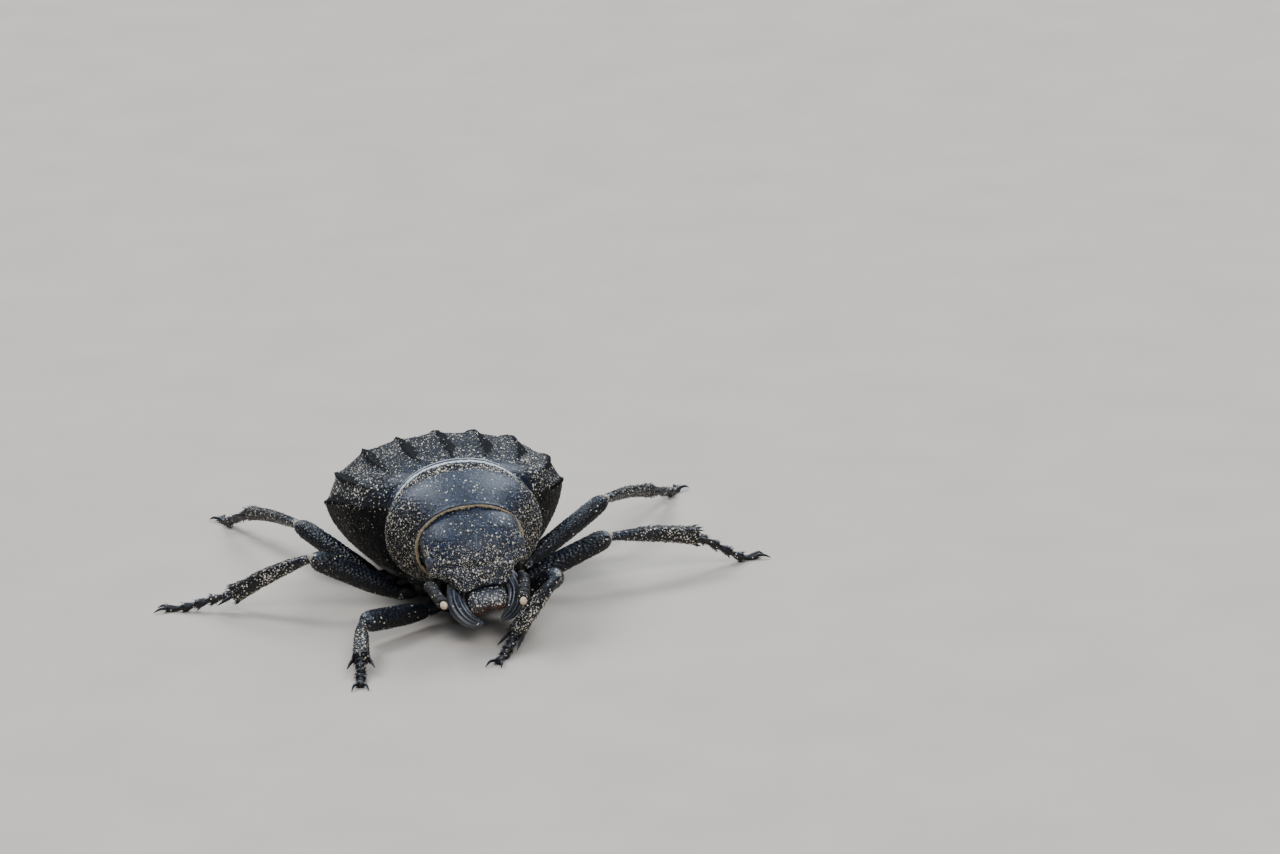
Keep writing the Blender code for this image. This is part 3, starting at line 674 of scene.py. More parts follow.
def wing_case(name, side, form, past):
    """One wing case: granulate, with beads on its ribs, painted shade beside them and dust between them, and
    smooth at the base.
    """
    skin = form * (side, 1, 1)
    number = np.arange(form.shape[1])
    shell = 1.0 * (number < LOWER_EDGE)  # 0 inside
    flank = step(np.abs(past), 0.05, 0.3) * (number >= MARGIN) * shell
    y, outer_panel = form[..., 1], step(form[..., 0], 2.5, 4.3)
    rough = shell * (0.3 + 0.7 * step(y + 0.35 * noise(skin, 0.7, 2) + 1.2 * outer_panel, 0.7, 2.1))
    grain, fine = granules(skin, 0.15, 3, 0.5), granules(skin, 0.085, 4, 0.42)
    beads = granules(skin, 0.2, 5, 0.6) * bell(past, 0.12) * step(y, 1.0, 3.0)
    height = rough * (0.04 * grain * (1 - 0.4 * flank) + 0.012 * fine + 0.05 * beads)
    height += shell * (0.03 * noise(skin, 0.9, 6) - 0.02 * bell(form[..., 0], 0.04))
    # Painted shade in strips beside the ribs, which also keep specks and dust off.
    rib_shade_mask = painted_rib_shade(skin, past, side) * (1 - flank) * shell
    speck = (0.4 * shell + 0.6 * rough) * (0.09 + 0.21 * dusty_patches(skin, 1.1, 7))
    speck = speck * (1 - 0.93 * flank) * (1 + 0.35 * outer_panel) * (1 - 0.92 * rib_shade_mask)
    # Painted shade beside the ribs and between the granules; polish with a painted sky sheen on the smooth
    # base.
    polish_and_painted_light = shell * (1 - rough) - 1.5 * rib_shade_mask + rough * (1.3 * grain - 0.7)
    skin = raised(skin, height)
    upper = np.r_[0 : MARGIN + 1, LOWER_EDGE : len(number)]
    case = Shape().grid(skin[:, upper], speck[:, upper], polish_and_painted_light[:, upper], (0.0, 0.06))
    case.piece(f"wing_case_{name}", SHELL, [f"elytron_{name}"], "shell")
    lower = slice(MARGIN, LOWER_EDGE + 1)
    side_wall = Shape().grid(skin[:, lower], speck[:, lower], polish_and_painted_light[:, lower])
    side_wall.piece(f"wing_flank_{name}", FLANK, slot="shell")
    down, hairy, way = Shape(), flank + 0.08 * shell * step(y, 6, 10), np.array([0, 0.5, -1.0])
    tufts(down, skin, hairy, way, count=4200, seed=10 + side, lift=0.22, lengths=(0.06, 0.13), width=0.016)
    down.piece(f"down_{name}", DOWN)
    patchy = 0.2 + step(noise(skin, 1.0, 9), -0.2, 0.5)
    dusty = rough * (1 - 0.75 * flank) * (1 - rib_shade_mask) * patchy
    dust(skin, dusty, count=1700, seed=20 + side, sizes=(0.025, 0.06))


# --- first thorax ring ---
HIND_MARGIN_TOP = 7.75
HIND_MARGIN_BOTTOM = 1.25
HIND_MARGIN_HALF_WIDTH = 3.45
PRONOTUM_HALF_WIDTH = 3.9
PRONOTUM_GIRTH = 23
FRONT_RIM_TOP = np.array([0.0, -4.0, 6.6])
FRONT_RIM_BOTTOM = np.array([0.0, -2.2, 2.0])
FRONT_RIM_HALF_WIDTH = 2.75
BEAD_END = 0.12  # share of the way forward where the bead's fine rows end
FRINGE_HAIRS = 4200
FRINGE_LOWEST = 2.6
COXA_CENTRES = {"front": (1.1, -1.7, 1.2), "middle": (1.8, 1.5, 1.1), "hind": (2.2, 4.45, 1.05)}
COXA_RADII = {"front": (0.72, 0.72, 0.72), "middle": (0.75, 0.72, 0.72), "hind": (1.15, 0.58, 0.62)}


def socket_depth(grid, pairs):
    """A sunk ring round each hip joint."""
    depth = np.zeros(grid.shape[:2])
    for pair, side in product(pairs, SIDES.values()):
        gap = length((grid - COXA_CENTRES[pair] * np.array([side, 1, 1])) / COXA_RADII[pair])[..., 0]
        depth -= 0.14 * bell((gap - 1.05) * 0.7, 0.12)
    return depth


def pronotum_form():
    """The ring before its sculpture. For its rows it also gives the share of the way forward and whether
    they show, and for its points the drop below the back: 0 on top and 1 below."""
    back = np.linspace(1, 0, round(0.5 / STEP), endpoint=False)
    bead = np.linspace(0, BEAD_END, round(1.0 / STEP), endpoint=False)
    share = np.concatenate([bead, np.linspace(BEAD_END, 1, round(4.4 / STEP))])
    lip = np.linspace(0, 1, round(0.9 / STEP))[1:]
    path = column(np.concatenate([0 * back, share, 1 - 0.22 * lip]))
    inset = column(np.concatenate([0.5 * back, 0 * share, 0.09 + 0.25 * lip]))
    shown = column(np.concatenate([0 * back, 0 * share + 1, 0 * lip]))
    top = (1 - path) * (0, 0, HIND_MARGIN_TOP) + path * FRONT_RIM_TOP
    top[:, 2:] += 0.35 * np.sin(pi * path) ** 0.9
    bottom = (1 - path) * (0, 0, HIND_MARGIN_BOTTOM) + path * FRONT_RIM_BOTTOM
    half = smooth([(0, HIND_MARGIN_HALF_WIDTH), (0.4, PRONOTUM_HALF_WIDTH), (1, FRONT_RIM_HALF_WIDTH)], path)
    middle = bottom + (top - bottom) * smooth([(0, 0.52), (0.4, 0.5), (1, 0.5)], path)
    high, low = length(top - middle) - inset, length(middle - bottom) - inset
    up = unit(top - middle)
    grid = rings(middle, (1, 0, 0), up, half - inset, high, low, round(PRONOTUM_GIRTH / STEP), 2.15)
    grid[: len(back), :, 1] -= column(0.25 * back) ** 1.5
    return grid, path, shown, (top[:, 2:] - grid[..., 2]) / (top - bottom)[:, 2:]


def pronotum():
    """The ring behind the head: a polished bead along its hind margin with a painted highlight, a satin disc,
    granulate sides and a thin rim in front."""
    grid, along, shown, drop = pronotum_form()
    wavy = 0.05 * noise(grid, 0.9, 30)
    disc = step(0.22 + wavy - drop, 0, 0.13) * step(along + wavy, 0.30, 0.44)
    grain, fine = granules(grid, 0.145, 32, 0.46), granules(grid, 0.09, 33, 0.42)
    rough = (1 - disc) * (1 - 0.7 * step(along, 0.93, 0.99)) * (1 - 0.5 * step(drop, 0.75, 0.9))
    bead = bell(along - 0.045, 0.042)
    height = 0.050 * grain * rough + 0.008 * fine * (1 - 0.7 * disc) + 0.012 * noise(grid, 0.8, 31)
    height -= 0.009 * disc * pits(grid, 0.15, 34, 0.26, 0.4)
    height = height * (1 - bead) + 0.15 * bead - 0.07 * bell(along - 0.130, 0.020)
    height += 0.02 * bell(along - 0.985, 0.012) + socket_depth(grid, ["front"])
    hem = step(along, 0.11, 0.14) * step(0.40 - along + wavy, 0, 0.1) * step(0.5 - drop, 0, 0.2)
    speck = 0.06 + 0.28 * rough * (0.4 + 0.6 * dusty_patches(grid, 1.0, 35)) + 0.2 * hem
    speck = shown * (1 - step(bead, 0.1, 0.4)) * speck
    skin = raised(grid, height * shown)
    # Painted highlight: two pale lines along the bead that fade down the sides; painted sky sheen on the
    # disc, painted shade between the granules and a darker hem behind the bead.
    painted_bead_highlight = (bell(along - 0.034, 0.026) + 0.9 * bell(along - 0.092, 0.018)) * step(0.50 - drop, 0, 0.35)
    polish_and_painted_light = disc + 2.4 * painted_bead_highlight + rough * (1.2 * grain - 0.8) * step(along, 0.10, 0.14)
    polish_and_painted_light = shown * (polish_and_painted_light - 0.5 * hem * (1 - disc))
    Shape().grid(skin, speck, polish_and_painted_light, (0.0, -0.3)).piece("pronotum_shell", DISC, ["pronotum"], "shell")
    dust(skin, shown * (1 - bead) * (0.12 + rough) * (drop < 0.9), count=2600, seed=36)
    fringe(skin, np.flatnonzero(shown)[-1])


def fringe(skin, row):
    """The golden hairs, thick with dust, that lie from the front rim of the pronotum onto the head."""
    random = np.random.default_rng(41)
    rim = skin[row]
    ahead = unit(rim - skin[row - 6])
    inward = unit(rim.mean(0) - rim)
    picked = random.choice(np.flatnonzero(rim[:, 2] > FRINGE_LOWEST), FRINGE_HAIRS)
    s, deep = random.random((2, FRINGE_HAIRS, 1))
    points = rim[picked] * (1 - s) + np.roll(rim, -1, 0)[picked] * s
    points = points + inward[picked] * 0.11 * deep - ahead[picked] * 0.04
    uv = np.stack([picked / len(rim), deep[:, 0]], -1)
    roots = Roots(points, -inward[picked], uv, random)
    clump = column(noise(points, 0.12, 42))
    around = unit(np.cross(ahead, inward))[picked]
    ways = ahead[picked] * 0.7 + inward[picked] * 0.55 + around * 0.7 * clump
    ways = unit(ways + random.normal(0, 0.2, ways.shape))
    lengths = roots.draw(0.07, 0.15) * (1 + 0.6 * clump)
    shape = Shape()
    hairs(shape, roots, ways, lengths, roots.draw(0.014, 0.024), 0.3)
    shape.piece("fringe_neck", GOLD)
    points = points + ways * lengths * roots.draw(0.2, 1.0)
    few = Roots(points[::5], roots.normals[::5], uv[::5], random)
    grains(few, few.draw(0.02, 0.05))


# --- head ---
HEAD_PITCH = 58
HEAD_ROLL = 8
HEAD_PIVOT = np.array([0.0, -4.9, 4.5])
HEAD_GIRTH = 15.5
CLYPEUS_END = 4.15  # from the front rim of the pronotum, along the head
HEAD_HALF_WIDTHS = [(-0.9, 1.6), (-0.4, 2.1), (0.2, 2.34), (1.2, 2.46), (2.5, 2.40), (2.9, 2.34)]
HEAD_HALF_WIDTHS += [(3.2, 2.06), (3.5, 1.72), (3.9, 1.38), (CLYPEUS_END, 1.22)]
HEAD_TOPS = [(-0.9, -1.0), (-0.4, -0.55), (0, -0.2), (1.0, 0.3), (2.1, 0.5), (3.2, 0.32), (CLYPEUS_END, 0)]
HEAD_BOTTOMS = [(-0.9, -2), (-0.2, -2.7), (1.2, -3), (2.6, -2.5), (3.3, -1.3), (3.7, -0.7)]
HEAD_BOTTOMS += [(CLYPEUS_END, -0.3)]
EYE_CENTRE = np.array([2.2, 2.34, -0.38])
EYE_RADII = np.array([0.34, 0.42, 0.34])
FACETS = 700
ROLL = np.array(Matrix.Rotation(-radians(HEAD_ROLL), 3, "Y"))
SIDEWAYS = ROLL @ np.array([1, 0, 0])
FORWARD = ROLL @ np.array([0, -cos(radians(HEAD_PITCH)), -sin(radians(HEAD_PITCH))])
UP = ROLL @ np.array([0, -sin(radians(HEAD_PITCH)), cos(radians(HEAD_PITCH))])
RIM_CENTRE = (FRONT_RIM_TOP + FRONT_RIM_BOTTOM) / 2
RIM_UP = (FRONT_RIM_TOP - FRONT_RIM_BOTTOM) / 2
RIM_AHEAD = -unit(np.cross((1, 0, 0), RIM_UP))
CROWN_GAP = 0.2  # from the rim to the crown, bridged by the golden hairs
CROWN = ROLL @ (FRONT_RIM_TOP - HEAD_PIVOT) + HEAD_PIVOT


def on_head(spots, side=1):
    """Points given as (sideways, forward, up) on the head, from the top of the pronotum's front rim."""
    return CROWN + spots * np.array([side, 1, 1]) @ np.array([SIDEWAYS, FORWARD, UP])


def head_rings(t, level, half_width, above, below, girth, power):
    """Rings square to the head, in its own directions."""
    centre = np.stack([0 * t, t, level], -1)
    return rings(centre, (1, 0, 0), (0, 0, 1), half_width, above, below, round(girth / STEP), power)


def head_form():
    """The head's points in its own directions, how much of a top side each is on, and its rows' places."""
    rear = np.linspace(-0.9, CLYPEUS_END - 0.1, round(5.2 / STEP), endpoint=False)
    t = column(np.concatenate([rear, np.linspace(CLYPEUS_END - 0.1, CLYPEUS_END, 5)]))
    low, high = smooth(HEAD_BOTTOMS, t), smooth(HEAD_TOPS, t)
    level = low + smooth([(2.0, 0.62), (3.4, 0.7), (CLYPEUS_END, 0.62)], t) * (high - low)
    power = smooth([(0.0, 2.0), (1.5, 2.1), (3.0, 2.2), (CLYPEUS_END, 3.0)], t)
    spot = head_rings(t, level, smooth(HEAD_HALF_WIDTHS, t), high - level, level - low, HEAD_GIRTH, power)
    x, along, z = np.moveaxis(spot, -1, 0).copy()
    side, top = np.abs(x), step(z - level, -0.16, 0.06)
    # The clypeus ends in two lobes with a shallow bay between them. The cheeks stand out over the feelers.
    reach = 0.10 * bell(side - 0.95, 0.3) - 0.10 * bell(side, 0.4) + 0.02
    cheek = bell(along - 2.95, 0.17) * bell(z - level, 0.17) * step(side, 1.6, 2.2)
    spot[..., 0] += np.sign(x) * 0.14 * cheek
    spot[..., 1] += reach * step(along, 3.4, CLYPEUS_END) * (0.35 + 0.65 * top) + 0.10 * cheek
    return spot, side, along, top, t


def under_rim(skin, t):
    """The skin with its rear rows moved to run just inside the rim of the pronotum."""
    angle = column(turns(skin.shape[1]) + radians(HEAD_ROLL))
    ring = np.cos(angle) * (FRONT_RIM_HALF_WIDTH - CROWN_GAP, 0, 0)
    ring = ring + np.sin(angle) * (RIM_UP - unit(RIM_UP) * CROWN_GAP)
    t = t[..., None]
    within = RIM_CENTRE + (1 - 0.35 * step(-t, 0, 0.9)) * ring + 0.6 * t * RIM_AHEAD
    return skin + (within - skin) * (1 - step(t, 0.1, 1.5))


def head():
    """The head capsule: a satin crown with a painted highlight, granules on the brow, the cheeks and round
    the eyes, and painted shade by the pronotum's rim and on the sides behind the eyes.
    """
    spot, side, along, top, t = head_form()
    skin = under_rim(on_head(spot), t)
    to_eye = np.minimum(*[length(spot - EYE_CENTRE * (sign, 1, 1))[..., 0] for sign in SIDES.values()])
    grain, fine = granules(spot, 0.13, 51, 0.46), granules(spot, 0.085, 52, 0.42)
    brow = step(along + 0.25 * noise(spot, 0.6, 50), 1.5, 3.1)
    rough = top * (0.10 + 0.9 * np.maximum(brow, 0.8 * bell(to_eye - 0.45, 0.3))) + 0.4 * (1 - top)
    rough = np.clip(rough, 0, 1)
    height = 0.036 * grain * rough + 0.008 * fine + 0.02 * noise(spot, 0.7, 54)
    height -= 0.010 * pits(spot, 0.15, 53, 0.28, 0.35) * (1 - 0.6 * brow)
    height += 0.07 * bell(to_eye - 0.43, 0.07) - 0.25 * step(0.38 - to_eye, 0, 0.15)
    height -= 0.06 * bell(along - (3.0 + 0.3 * bell(side, 1.0)), 0.18) * top * step(1.9 - side, 0, 0.6)
    dusty = dusty_patches(spot, 0.8, 55)
    speck = top * (0.04 + 0.05 * step(along, 0.6, 1.6) + 0.21 * rough * (0.4 + 0.6 * dusty))
    skin = raised(skin, height)
    # Painted shade just in front of the pronotum's rim and on the head's sides behind the eyes, a painted
    # highlight on the crown, and painted shade between the granules.
    shade = 0.6 * bell(t - 0.1, 0.2) + 1.1 * step(side, 1.5, 2.3) * step(1.9 - along, 0, 0.7)
    painted_crown_highlight = 0.08 * bell(side, 1.5) * bell(along - 1.0, 0.9)
    polish_and_painted_light = 1 - 0.7 * rough + rough * (0.9 * grain - 0.4) - shade + painted_crown_highlight
    Shape().grid(skin, speck, polish_and_painted_light, (0.1, 0.0)).piece("head_capsule", DISC, ["head"], "shell")
    dust(skin, top * (0.10 + rough) * (to_eye > 0.4) * (along > 0.4), count=1500, seed=56)


def eyes():
    """Domes of small hexagonal facets."""
    k = np.arange(FACETS)
    height, turn = 1 - (2 * k + 1) / FACETS, k * pi * (3 - 5**0.5)
    flat = np.sqrt(1 - height**2)
    lattice = np.stack([flat * np.cos(turn), flat * np.sin(turn), height], -1)
    dome = ball(72, 110, 0.02)
    apart = np.sort(np.arccos(np.clip(dome.reshape(-1, 3) @ lattice.T, -1, 1)), axis=1)[:, :2]
    edge = (apart[:, 1] - apart[:, 0]).reshape(dome.shape[:2])
    dome = dome * EYE_RADII * 0.94 * (1 + 0.022 * (step(edge, 0, 0.06) - 1))[..., None]
    for name, side in SIDES.items():
        skin = on_head(EYE_CENTRE * (side, 1, 1) + dome)
        speck = 0.25 * step(noise(skin, 0.12, 57), 0.45, 0.7)
        Shape().grid(skin, speck).piece(f"eye_facets_{name}", EYE, [f"eye_{name}"], "eye")


# --- mouth ---
LIP_GIRTH = 6
LIP_WIDTHS = [(3.8, 0.6), (4.2, 0.78), (4.5, 0.90), (4.85, 0.95), (5.15, 0.88), (5.32, 0.74), (5.4, 0.6)]
LIP_DEPTHS = [(3.8, 0.10), (4.3, 0.2), (4.8, 0.29), (5.15, 0.25), (5.34, 0.14), (5.4, 0.06)]
LIP_LEVELS = [(3.8, -0.48), (4.2, -0.42), (4.7, -0.28), (5.4, -0.34)]
LIP_HAIRS = 420
JAW_GIRTH = 3.4
JAW_LENGTH = 3.2
JAW_WIDTHS = [(0, 0.42), (0.3, 0.46), (0.6, 0.42), (0.85, 0.27), (1, 0.12)]
JAW_DEPTHS = [(0, 0.46), (0.35, 0.44), (0.6, 0.36), (0.85, 0.22), (1, 0.10)]
JAW_PATH = [(1.30, 3.6, -1.05), (1.48, 4.5, -0.82), (1.32, 5.15, -0.72), (0.95, 5.62, -0.74)]
JAW_PATH += [(0.50, 5.86, -0.80)]
PALP_PATH = [(1.1, 3.3, -1.8), (1.4, 3.9, -2.05), (1.56, 4.45, -2.1), (1.5, 5.0, -1.95)]


def upper_lip():
    """The lip under the clypeus, notched in front, with its rusty fringe."""
    t = column(np.concatenate([np.linspace(3.8, 5.3, round(1.5 / STEP)), np.linspace(5.3, 5.4, 6)[1:]]))
    half, thick, level = smooth(LIP_WIDTHS, t), smooth(LIP_DEPTHS, t), smooth(LIP_LEVELS, t)
    spot = head_rings(t, level, half, thick, thick, LIP_GIRTH, 2.6)
    spot[..., 1] -= 0.12 * bell(spot[..., 0], 0.35) * step(spot[..., 1], 4.9, 5.4)
    grain, fine = granules(spot, 0.12, 61, 0.46), granules(spot, 0.08, 60, 0.42)
    edge = step(spot[..., 1], 4.15, 4.4)
    height = (0.04 * grain + 0.012 * fine) * edge + 0.025 * noise(spot, 0.4, 62)
    skin = raised(on_head(spot), height)
    # Painted shade between the granules of the front of the lip.
    lip = Shape().grid(skin, 0.55 * edge, 0.2 - 0.7 * edge * (1 - grain))
    lip.piece("upper_lip", MOUTH, ["labrum"], "mouth")
    fringe_lip = Shape()
    roots = scattered(skin, step(spot[..., 1], 5.1, 5.3) * (spot[..., 2] < 0.0), LIP_HAIRS, 63)
    ways = FORWARD - UP * 0.5 + roots.random.normal(0, 0.22, roots.points.shape)
    hairs(fringe_lip, roots, ways, roots.draw(0.08, 0.2), 0.018)
    fringe_lip.piece("fringe_lip", RUST)


def jaw(name, side):
    """A curved jaw with deep grooves along it."""
    t = along_limb(round(JAW_LENGTH / STEP))
    columns = round(JAW_GIRTH / STEP)
    form = limb(on_head(JAW_PATH, side), smooth(JAW_WIDTHS, t), smooth(JAW_DEPTHS, t), columns, UP, 2.4)
    bent = 0.6 * np.sin(3 * t) + 0.5 * noise(form, 0.9, 64)
    groove = (1 - np.abs(np.sin(turns(columns) * 5.5 + bent))) ** 1.3
    groove = groove * step(t, 0.08, 0.22) * (1 - 0.8 * step(t, 0.8, 1))
    skin = raised(form, 0.008 * noise(form, 0.1, 67) - 0.09 * groove)
    # Painted shade in the grooves, and a painted sky sheen with a faint painted highlight on the ridges.
    shape = Shape().grid(skin, 0.02, 1.15 - 2.6 * groove, (0.0, 0.05))
    shape.piece(f"jaw_{name}", MOUTH, [f"mandible_{name}"], "mouth")


def palp(name, side):
    """A short beaded feeler beside the jaw."""
    t = along_limb(60)
    radius = 0.13 + 0.11 * np.abs(np.sin(pi * 3 * t)) ** 0.6 + 0.03 * t
    form = limb(on_head(PALP_PATH, side), radius, radius, 32)
    shape = Shape().grid(raised(form, 0.012 * noise(form, 0.1, 66)), tips=(0.0, 0.04))
    shape.piece(f"feeler_palp_{name}", FEELER, [f"palp_{name}"], "feeler")


# --- feelers ---
FEELER_BASE = (1.85, 2.9, -1.0)  # on the head
FEELER_PATHS = {  # (away from the middle, y, z) in the beetle's frame
    "left": ((2.1, -4.8, 3.0), (2.22, -5.5, 3.1), (2.12, -6.6, 3.05), (1.94, -7.6, 2.93), (1.8, -8.3, 2.83)),
    "right": ((2.3, -4.8, 2.85), (2.36, -5.6, 3.1), (2.34, -6.6, 3.1), (2.26, -7.6, 3.05), (2.18, -8.3, 3)),
}
FEELER_JOINTS = (0.15, 0.06, 0.17, 0.13, 0.12, 0.125, 0.125, 0.12)  # their lengths next to each other
FEELER_ROWS = 22  # for each joint
FEELER_WAIST = 0.13
FEELER_BELLY = 0.285
PALE_TIP_RADII = [(0, 0.10), (0.3, 0.17), (0.5, 0.175), (0.8, 0.12), (0.95, 0.055), (1, 0.02)]


def along_joints(t, knots):
    """Which joint each t lies in, and its share of the way along that joint."""
    i = np.clip(np.searchsorted(knots, t, side="right") - 1, 0, len(knots) - 2)
    return i, (t - knots[i]) / (knots[i + 1] - knots[i])


def nearest(t, places):
    """The distance from t to the nearest of the places, as a column."""
    return np.min(np.abs(t - places), axis=1, keepdims=True)


def feeler(name, side):
    """A feeler of bead-like joints that starts under the cheek. Its last joint is small and pale."""
    path = np.concatenate([[on_head(FEELER_BASE, side)], FEELER_PATHS[name] * np.array([side, 1, 1])])
    knots = np.concatenate([[0], np.cumsum(FEELER_JOINTS)])
    knots = knots / knots[-1]
    t = along_limb(len(FEELER_JOINTS) * FEELER_ROWS)
    share = np.clip(along_joints(t, knots)[1], 0, 1)
    radius = FEELER_WAIST + (FEELER_BELLY - FEELER_WAIST) * np.sin(pi * share**0.85) ** 0.75
    form = limb(path, radius, radius, 56)
    grain = granules(form, 0.06, 71, 0.5)
    skin = raised(form, 0.010 * grain)
    speck = 0.02 + 0.16 * bell(nearest(t, knots[1:] - 0.02), 0.014)
    # Painted shade between the granules; darker at the joints.
    beads = Shape().grid(skin, speck, 0.5 * (grain - 1) - bell(nearest(t, knots), 0.010))
    beads.piece(f"feeler_{name}", FEELER, [f"antenna_{name}"], "feeler")
    ahead = unit(path[-1] - path[-2])
    tip = tube([path[-1] + ahead * reach for reach in (-0.08, 0.22, 0.5)], PALE_TIP_RADII, 40, 44)
    tip = raised(tip, 0.006 * noise(tip, 0.06, 72))
    Shape().grid(tip).piece(f"feeler_end_{name}", PALE, [f"antenna_tip_{name}"], "feeler_tip")
    down = Shape()
    for hairy, count, seed in ((skin, 700, 73), (tip, 120, 74)):
        looks = {"lift": 0.5, "lengths": (0.05, 0.11), "width": 0.011}
        tufts(down, hairy, 1.0, ahead * 1.2, count=count, seed=seed + side, **looks)
    down.piece(f"down_feeler_{name}", DUSTY_DOWN)


# --- underside ---
VENTER_GIRTH = 11
WALL_GAP = 0.2  # to the inner wall of the wing cases
EDGE_GAP = 0.16  # to their lower edge
BELLY_Z = 1.0
BELLY_BOTTOMS = [(0, BELLY_Z), (6, BELLY_Z), (10, 1.15), (12.2, 1.45), (ELYTRA_LENGTH, 1.75)]
PLATE_EDGES = (5.3, 7.2, 8.8, 10.2, 11.5, 13.0)


def venter_row(y, low):
    """The section of the underside at y, closed above inside the wing cases."""
    half, _, _, edge = elytron_sizes(max(y, 0))
    inner, wide = INNER_WALL_SHARE * half - WALL_GAP, LOWER_EDGE_SHARE * half - EDGE_GAP
    count = round(VENTER_GIRTH / STEP)
    above = 2 * (count // 6)  # columns on the closed upper side
    angle = np.linspace(0, pi, count - above)
    height = edge - 0.05 - (edge - 0.05 - low) * np.sin(angle)
    bottom = np.stack([wide * np.cos(angle), 0 * angle, height], -1)
    roof = [bottom[-1], (-inner, 0, edge + 0.3), (inner, 0, edge + 0.3), bottom[0]]
    row = np.concatenate([bottom, bent_line(roof, np.arange(1, above + 1) / (above + 1))])
    row[:, 1] = y
    return row


def plate_steps(ys):
    """How much higher the belly lies at each y: every plate starts sunk under the one before it, and its
    hind edge curls in a little."""
    relief = np.zeros(len(ys))
    for front, back in zip(PLATE_EDGES, PLATE_EDGES[1:]):
        share = np.clip((ys - front) / (back - front), 0, 1)
        inside = (ys >= front) & (ys < back)
        relief = relief + inside * (0.11 * (1 - share) ** 3 - 0.02 + 0.05 * step(share, 0.93, 1.0))
    return relief


def venter(name, start, end, node):
    """Breast plates with their grooves, or five belly plates that overlap backwards."""
    ys = np.linspace(start, end, round((end - start) / (1.4 * STEP)))
    lows = smooth(BELLY_BOTTOMS, ys)
    if name == "belly":
        lows = lows + plate_steps(ys)
    grid = np.array([venter_row(y, low) for y, low in zip(ys, lows)])
    neck = column(step(-ys, -0.25, 0.4))
    grid[..., 0] *= 1 - 0.12 * neck
    grid[..., 2] += 0.35 * neck * (grid[..., 2] < 2)
    under = step(2.1 - grid[..., 2], 0, 0.5)
    height = under * (0.022 * granules(grid, 0.2, 81, 0.5) + 0.02 * noise(grid, 1.2, 82))
    height += socket_depth(grid, ["middle", "hind"])
    if name == "breast":
        x, y = grid[..., 0], grid[..., 1]
        height -= 0.05 * bell(x, 0.07) * under * step(y, 2.4, 3.2)
        height -= 0.06 * bell(y - 2.35 - 0.12 * np.abs(x), 0.09) * under
    skin = raised(grid, height)
    Shape().grid(skin, 0.12 * under).piece(f"{name}_plates", VENTER, [node], "venter")
    down = Shape()
    way = np.array([0, 1, 0])
    tufts(down, skin, under, way, count=1300, seed=83, lift=0.35, lengths=(0.12, 0.24), width=0.016)
    down.piece(f"down_{name}", DOWN)


# --- legs ---
FIVE_JOINTS = (0, 0.165, 0.33, 0.495, 0.66, 1.0)  # where the joints of a foot start and end
FOUR_JOINTS = (0, 0.26, 0.45, 0.62, 1.0)
# For each pair: femur, tibia and tarsus length, thickest femur radius, tibia radius at its end and the
# joints of the tarsus.
LEG_SIZES = {
    "front": (4.5, 3.9, 2.6, 0.60, 0.42, FIVE_JOINTS),
    "middle": (5.3, 4.8, 3.8, 0.60, 0.50, FIVE_JOINTS),
    "hind": (6.4, 6.2, 4.4, 0.53, 0.36, FOUR_JOINTS),
}
HIPS = {"front": (2.15, -2.0, 0.75), "middle": (2.9, 1.4, 0.6), "hind": (3.65, 4.6, 0.47)}
# Headings in degrees: how far back from straight out to the side, and the rise, for femur, tibia, tarsus.
LEG_POSE = {
    ("right", "front"): ((-36, 7), (-81, -9), (-81, -11)),
    ("right", "middle"): ((-4, 29), (31, -27), (20, -11)),
    ("right", "hind"): ((54, 18), (73, -9), (73, -18)),
    ("left", "front"): ((-61, 30), (-143, -34), (-121, -11)),
    ("left", "middle"): ((-2, 23), (15, -10), (16, -23)),
    ("left", "hind"): ((33, 20), (59, -13), (59, -16)),
}
THIGH_GIRTH = 4.2
SHIN_GIRTH = 3.0
SHIN_END = 0.45  # the radius at the end of a shin of middling thickness
DUSTY_SHINS = {"front": 1.0, "middle": 0.7, "hind": 0.4}  # how much dust sticks to them
SPUR_RADII = [(0, 0.10), (0.3, 0.095), (0.8, 0.05), (1, 0.012)]
CLAW_RADII = [(0, 0.085), (0.5, 0.07), (1, 0.012)]
LYING_LENGTH = 0.9  # of the foot's end that lies along the floor
TOE_Z = 0.2


def heading(side, back, rise):
    """A direction back degrees behind straight sideways and rise degrees up."""
    b, r = radians(back), radians(rise)
    return np.array([side * cos(b) * cos(r), sin(b) * cos(r), sin(r)])


def leg(side_name, pair):
    """One leg, from the hip to the claws."""
    side = SIDES[side_name]
    thigh, shin, foot, radius, end, joints = LEG_SIZES[pair]
    ahead = [heading(side, *angles) for angles in LEG_POSE[side_name, pair]]
    hip = HIPS[pair] * np.array([side, 1, 1])
    knee = hip + ahead[0] * thigh
    ankle = knee + ahead[1] * shin
    toe = ankle + ahead[2] * foot
    toe[2] = TOE_Z
    tag = f"{pair}_{side_name}"
    seed = 100 + 10 * list(LEG_POSE).index((side_name, pair))
    hair, spines = Shape(), Shape()
    coxa_and_ring(tag, pair, side, hip, ahead[0], seed)
    femur(tag, hip, ahead[0], thigh, radius, seed, hair)
    knee_skin(tag, knee, ahead[0], ahead[1], 0.75 if pair == "front" else 1.0)
    tibia(tag, knee, ankle, ahead[0], end, DUSTY_SHINS[pair], seed, hair, spines)
    tarsus(tag, ankle, toe, joints, ahead[2], seed, hair, spines)
    hair.piece(f"down_leg_{tag}", DOWN)
    spines.piece(f"bristles_{tag}", BRISTLE)


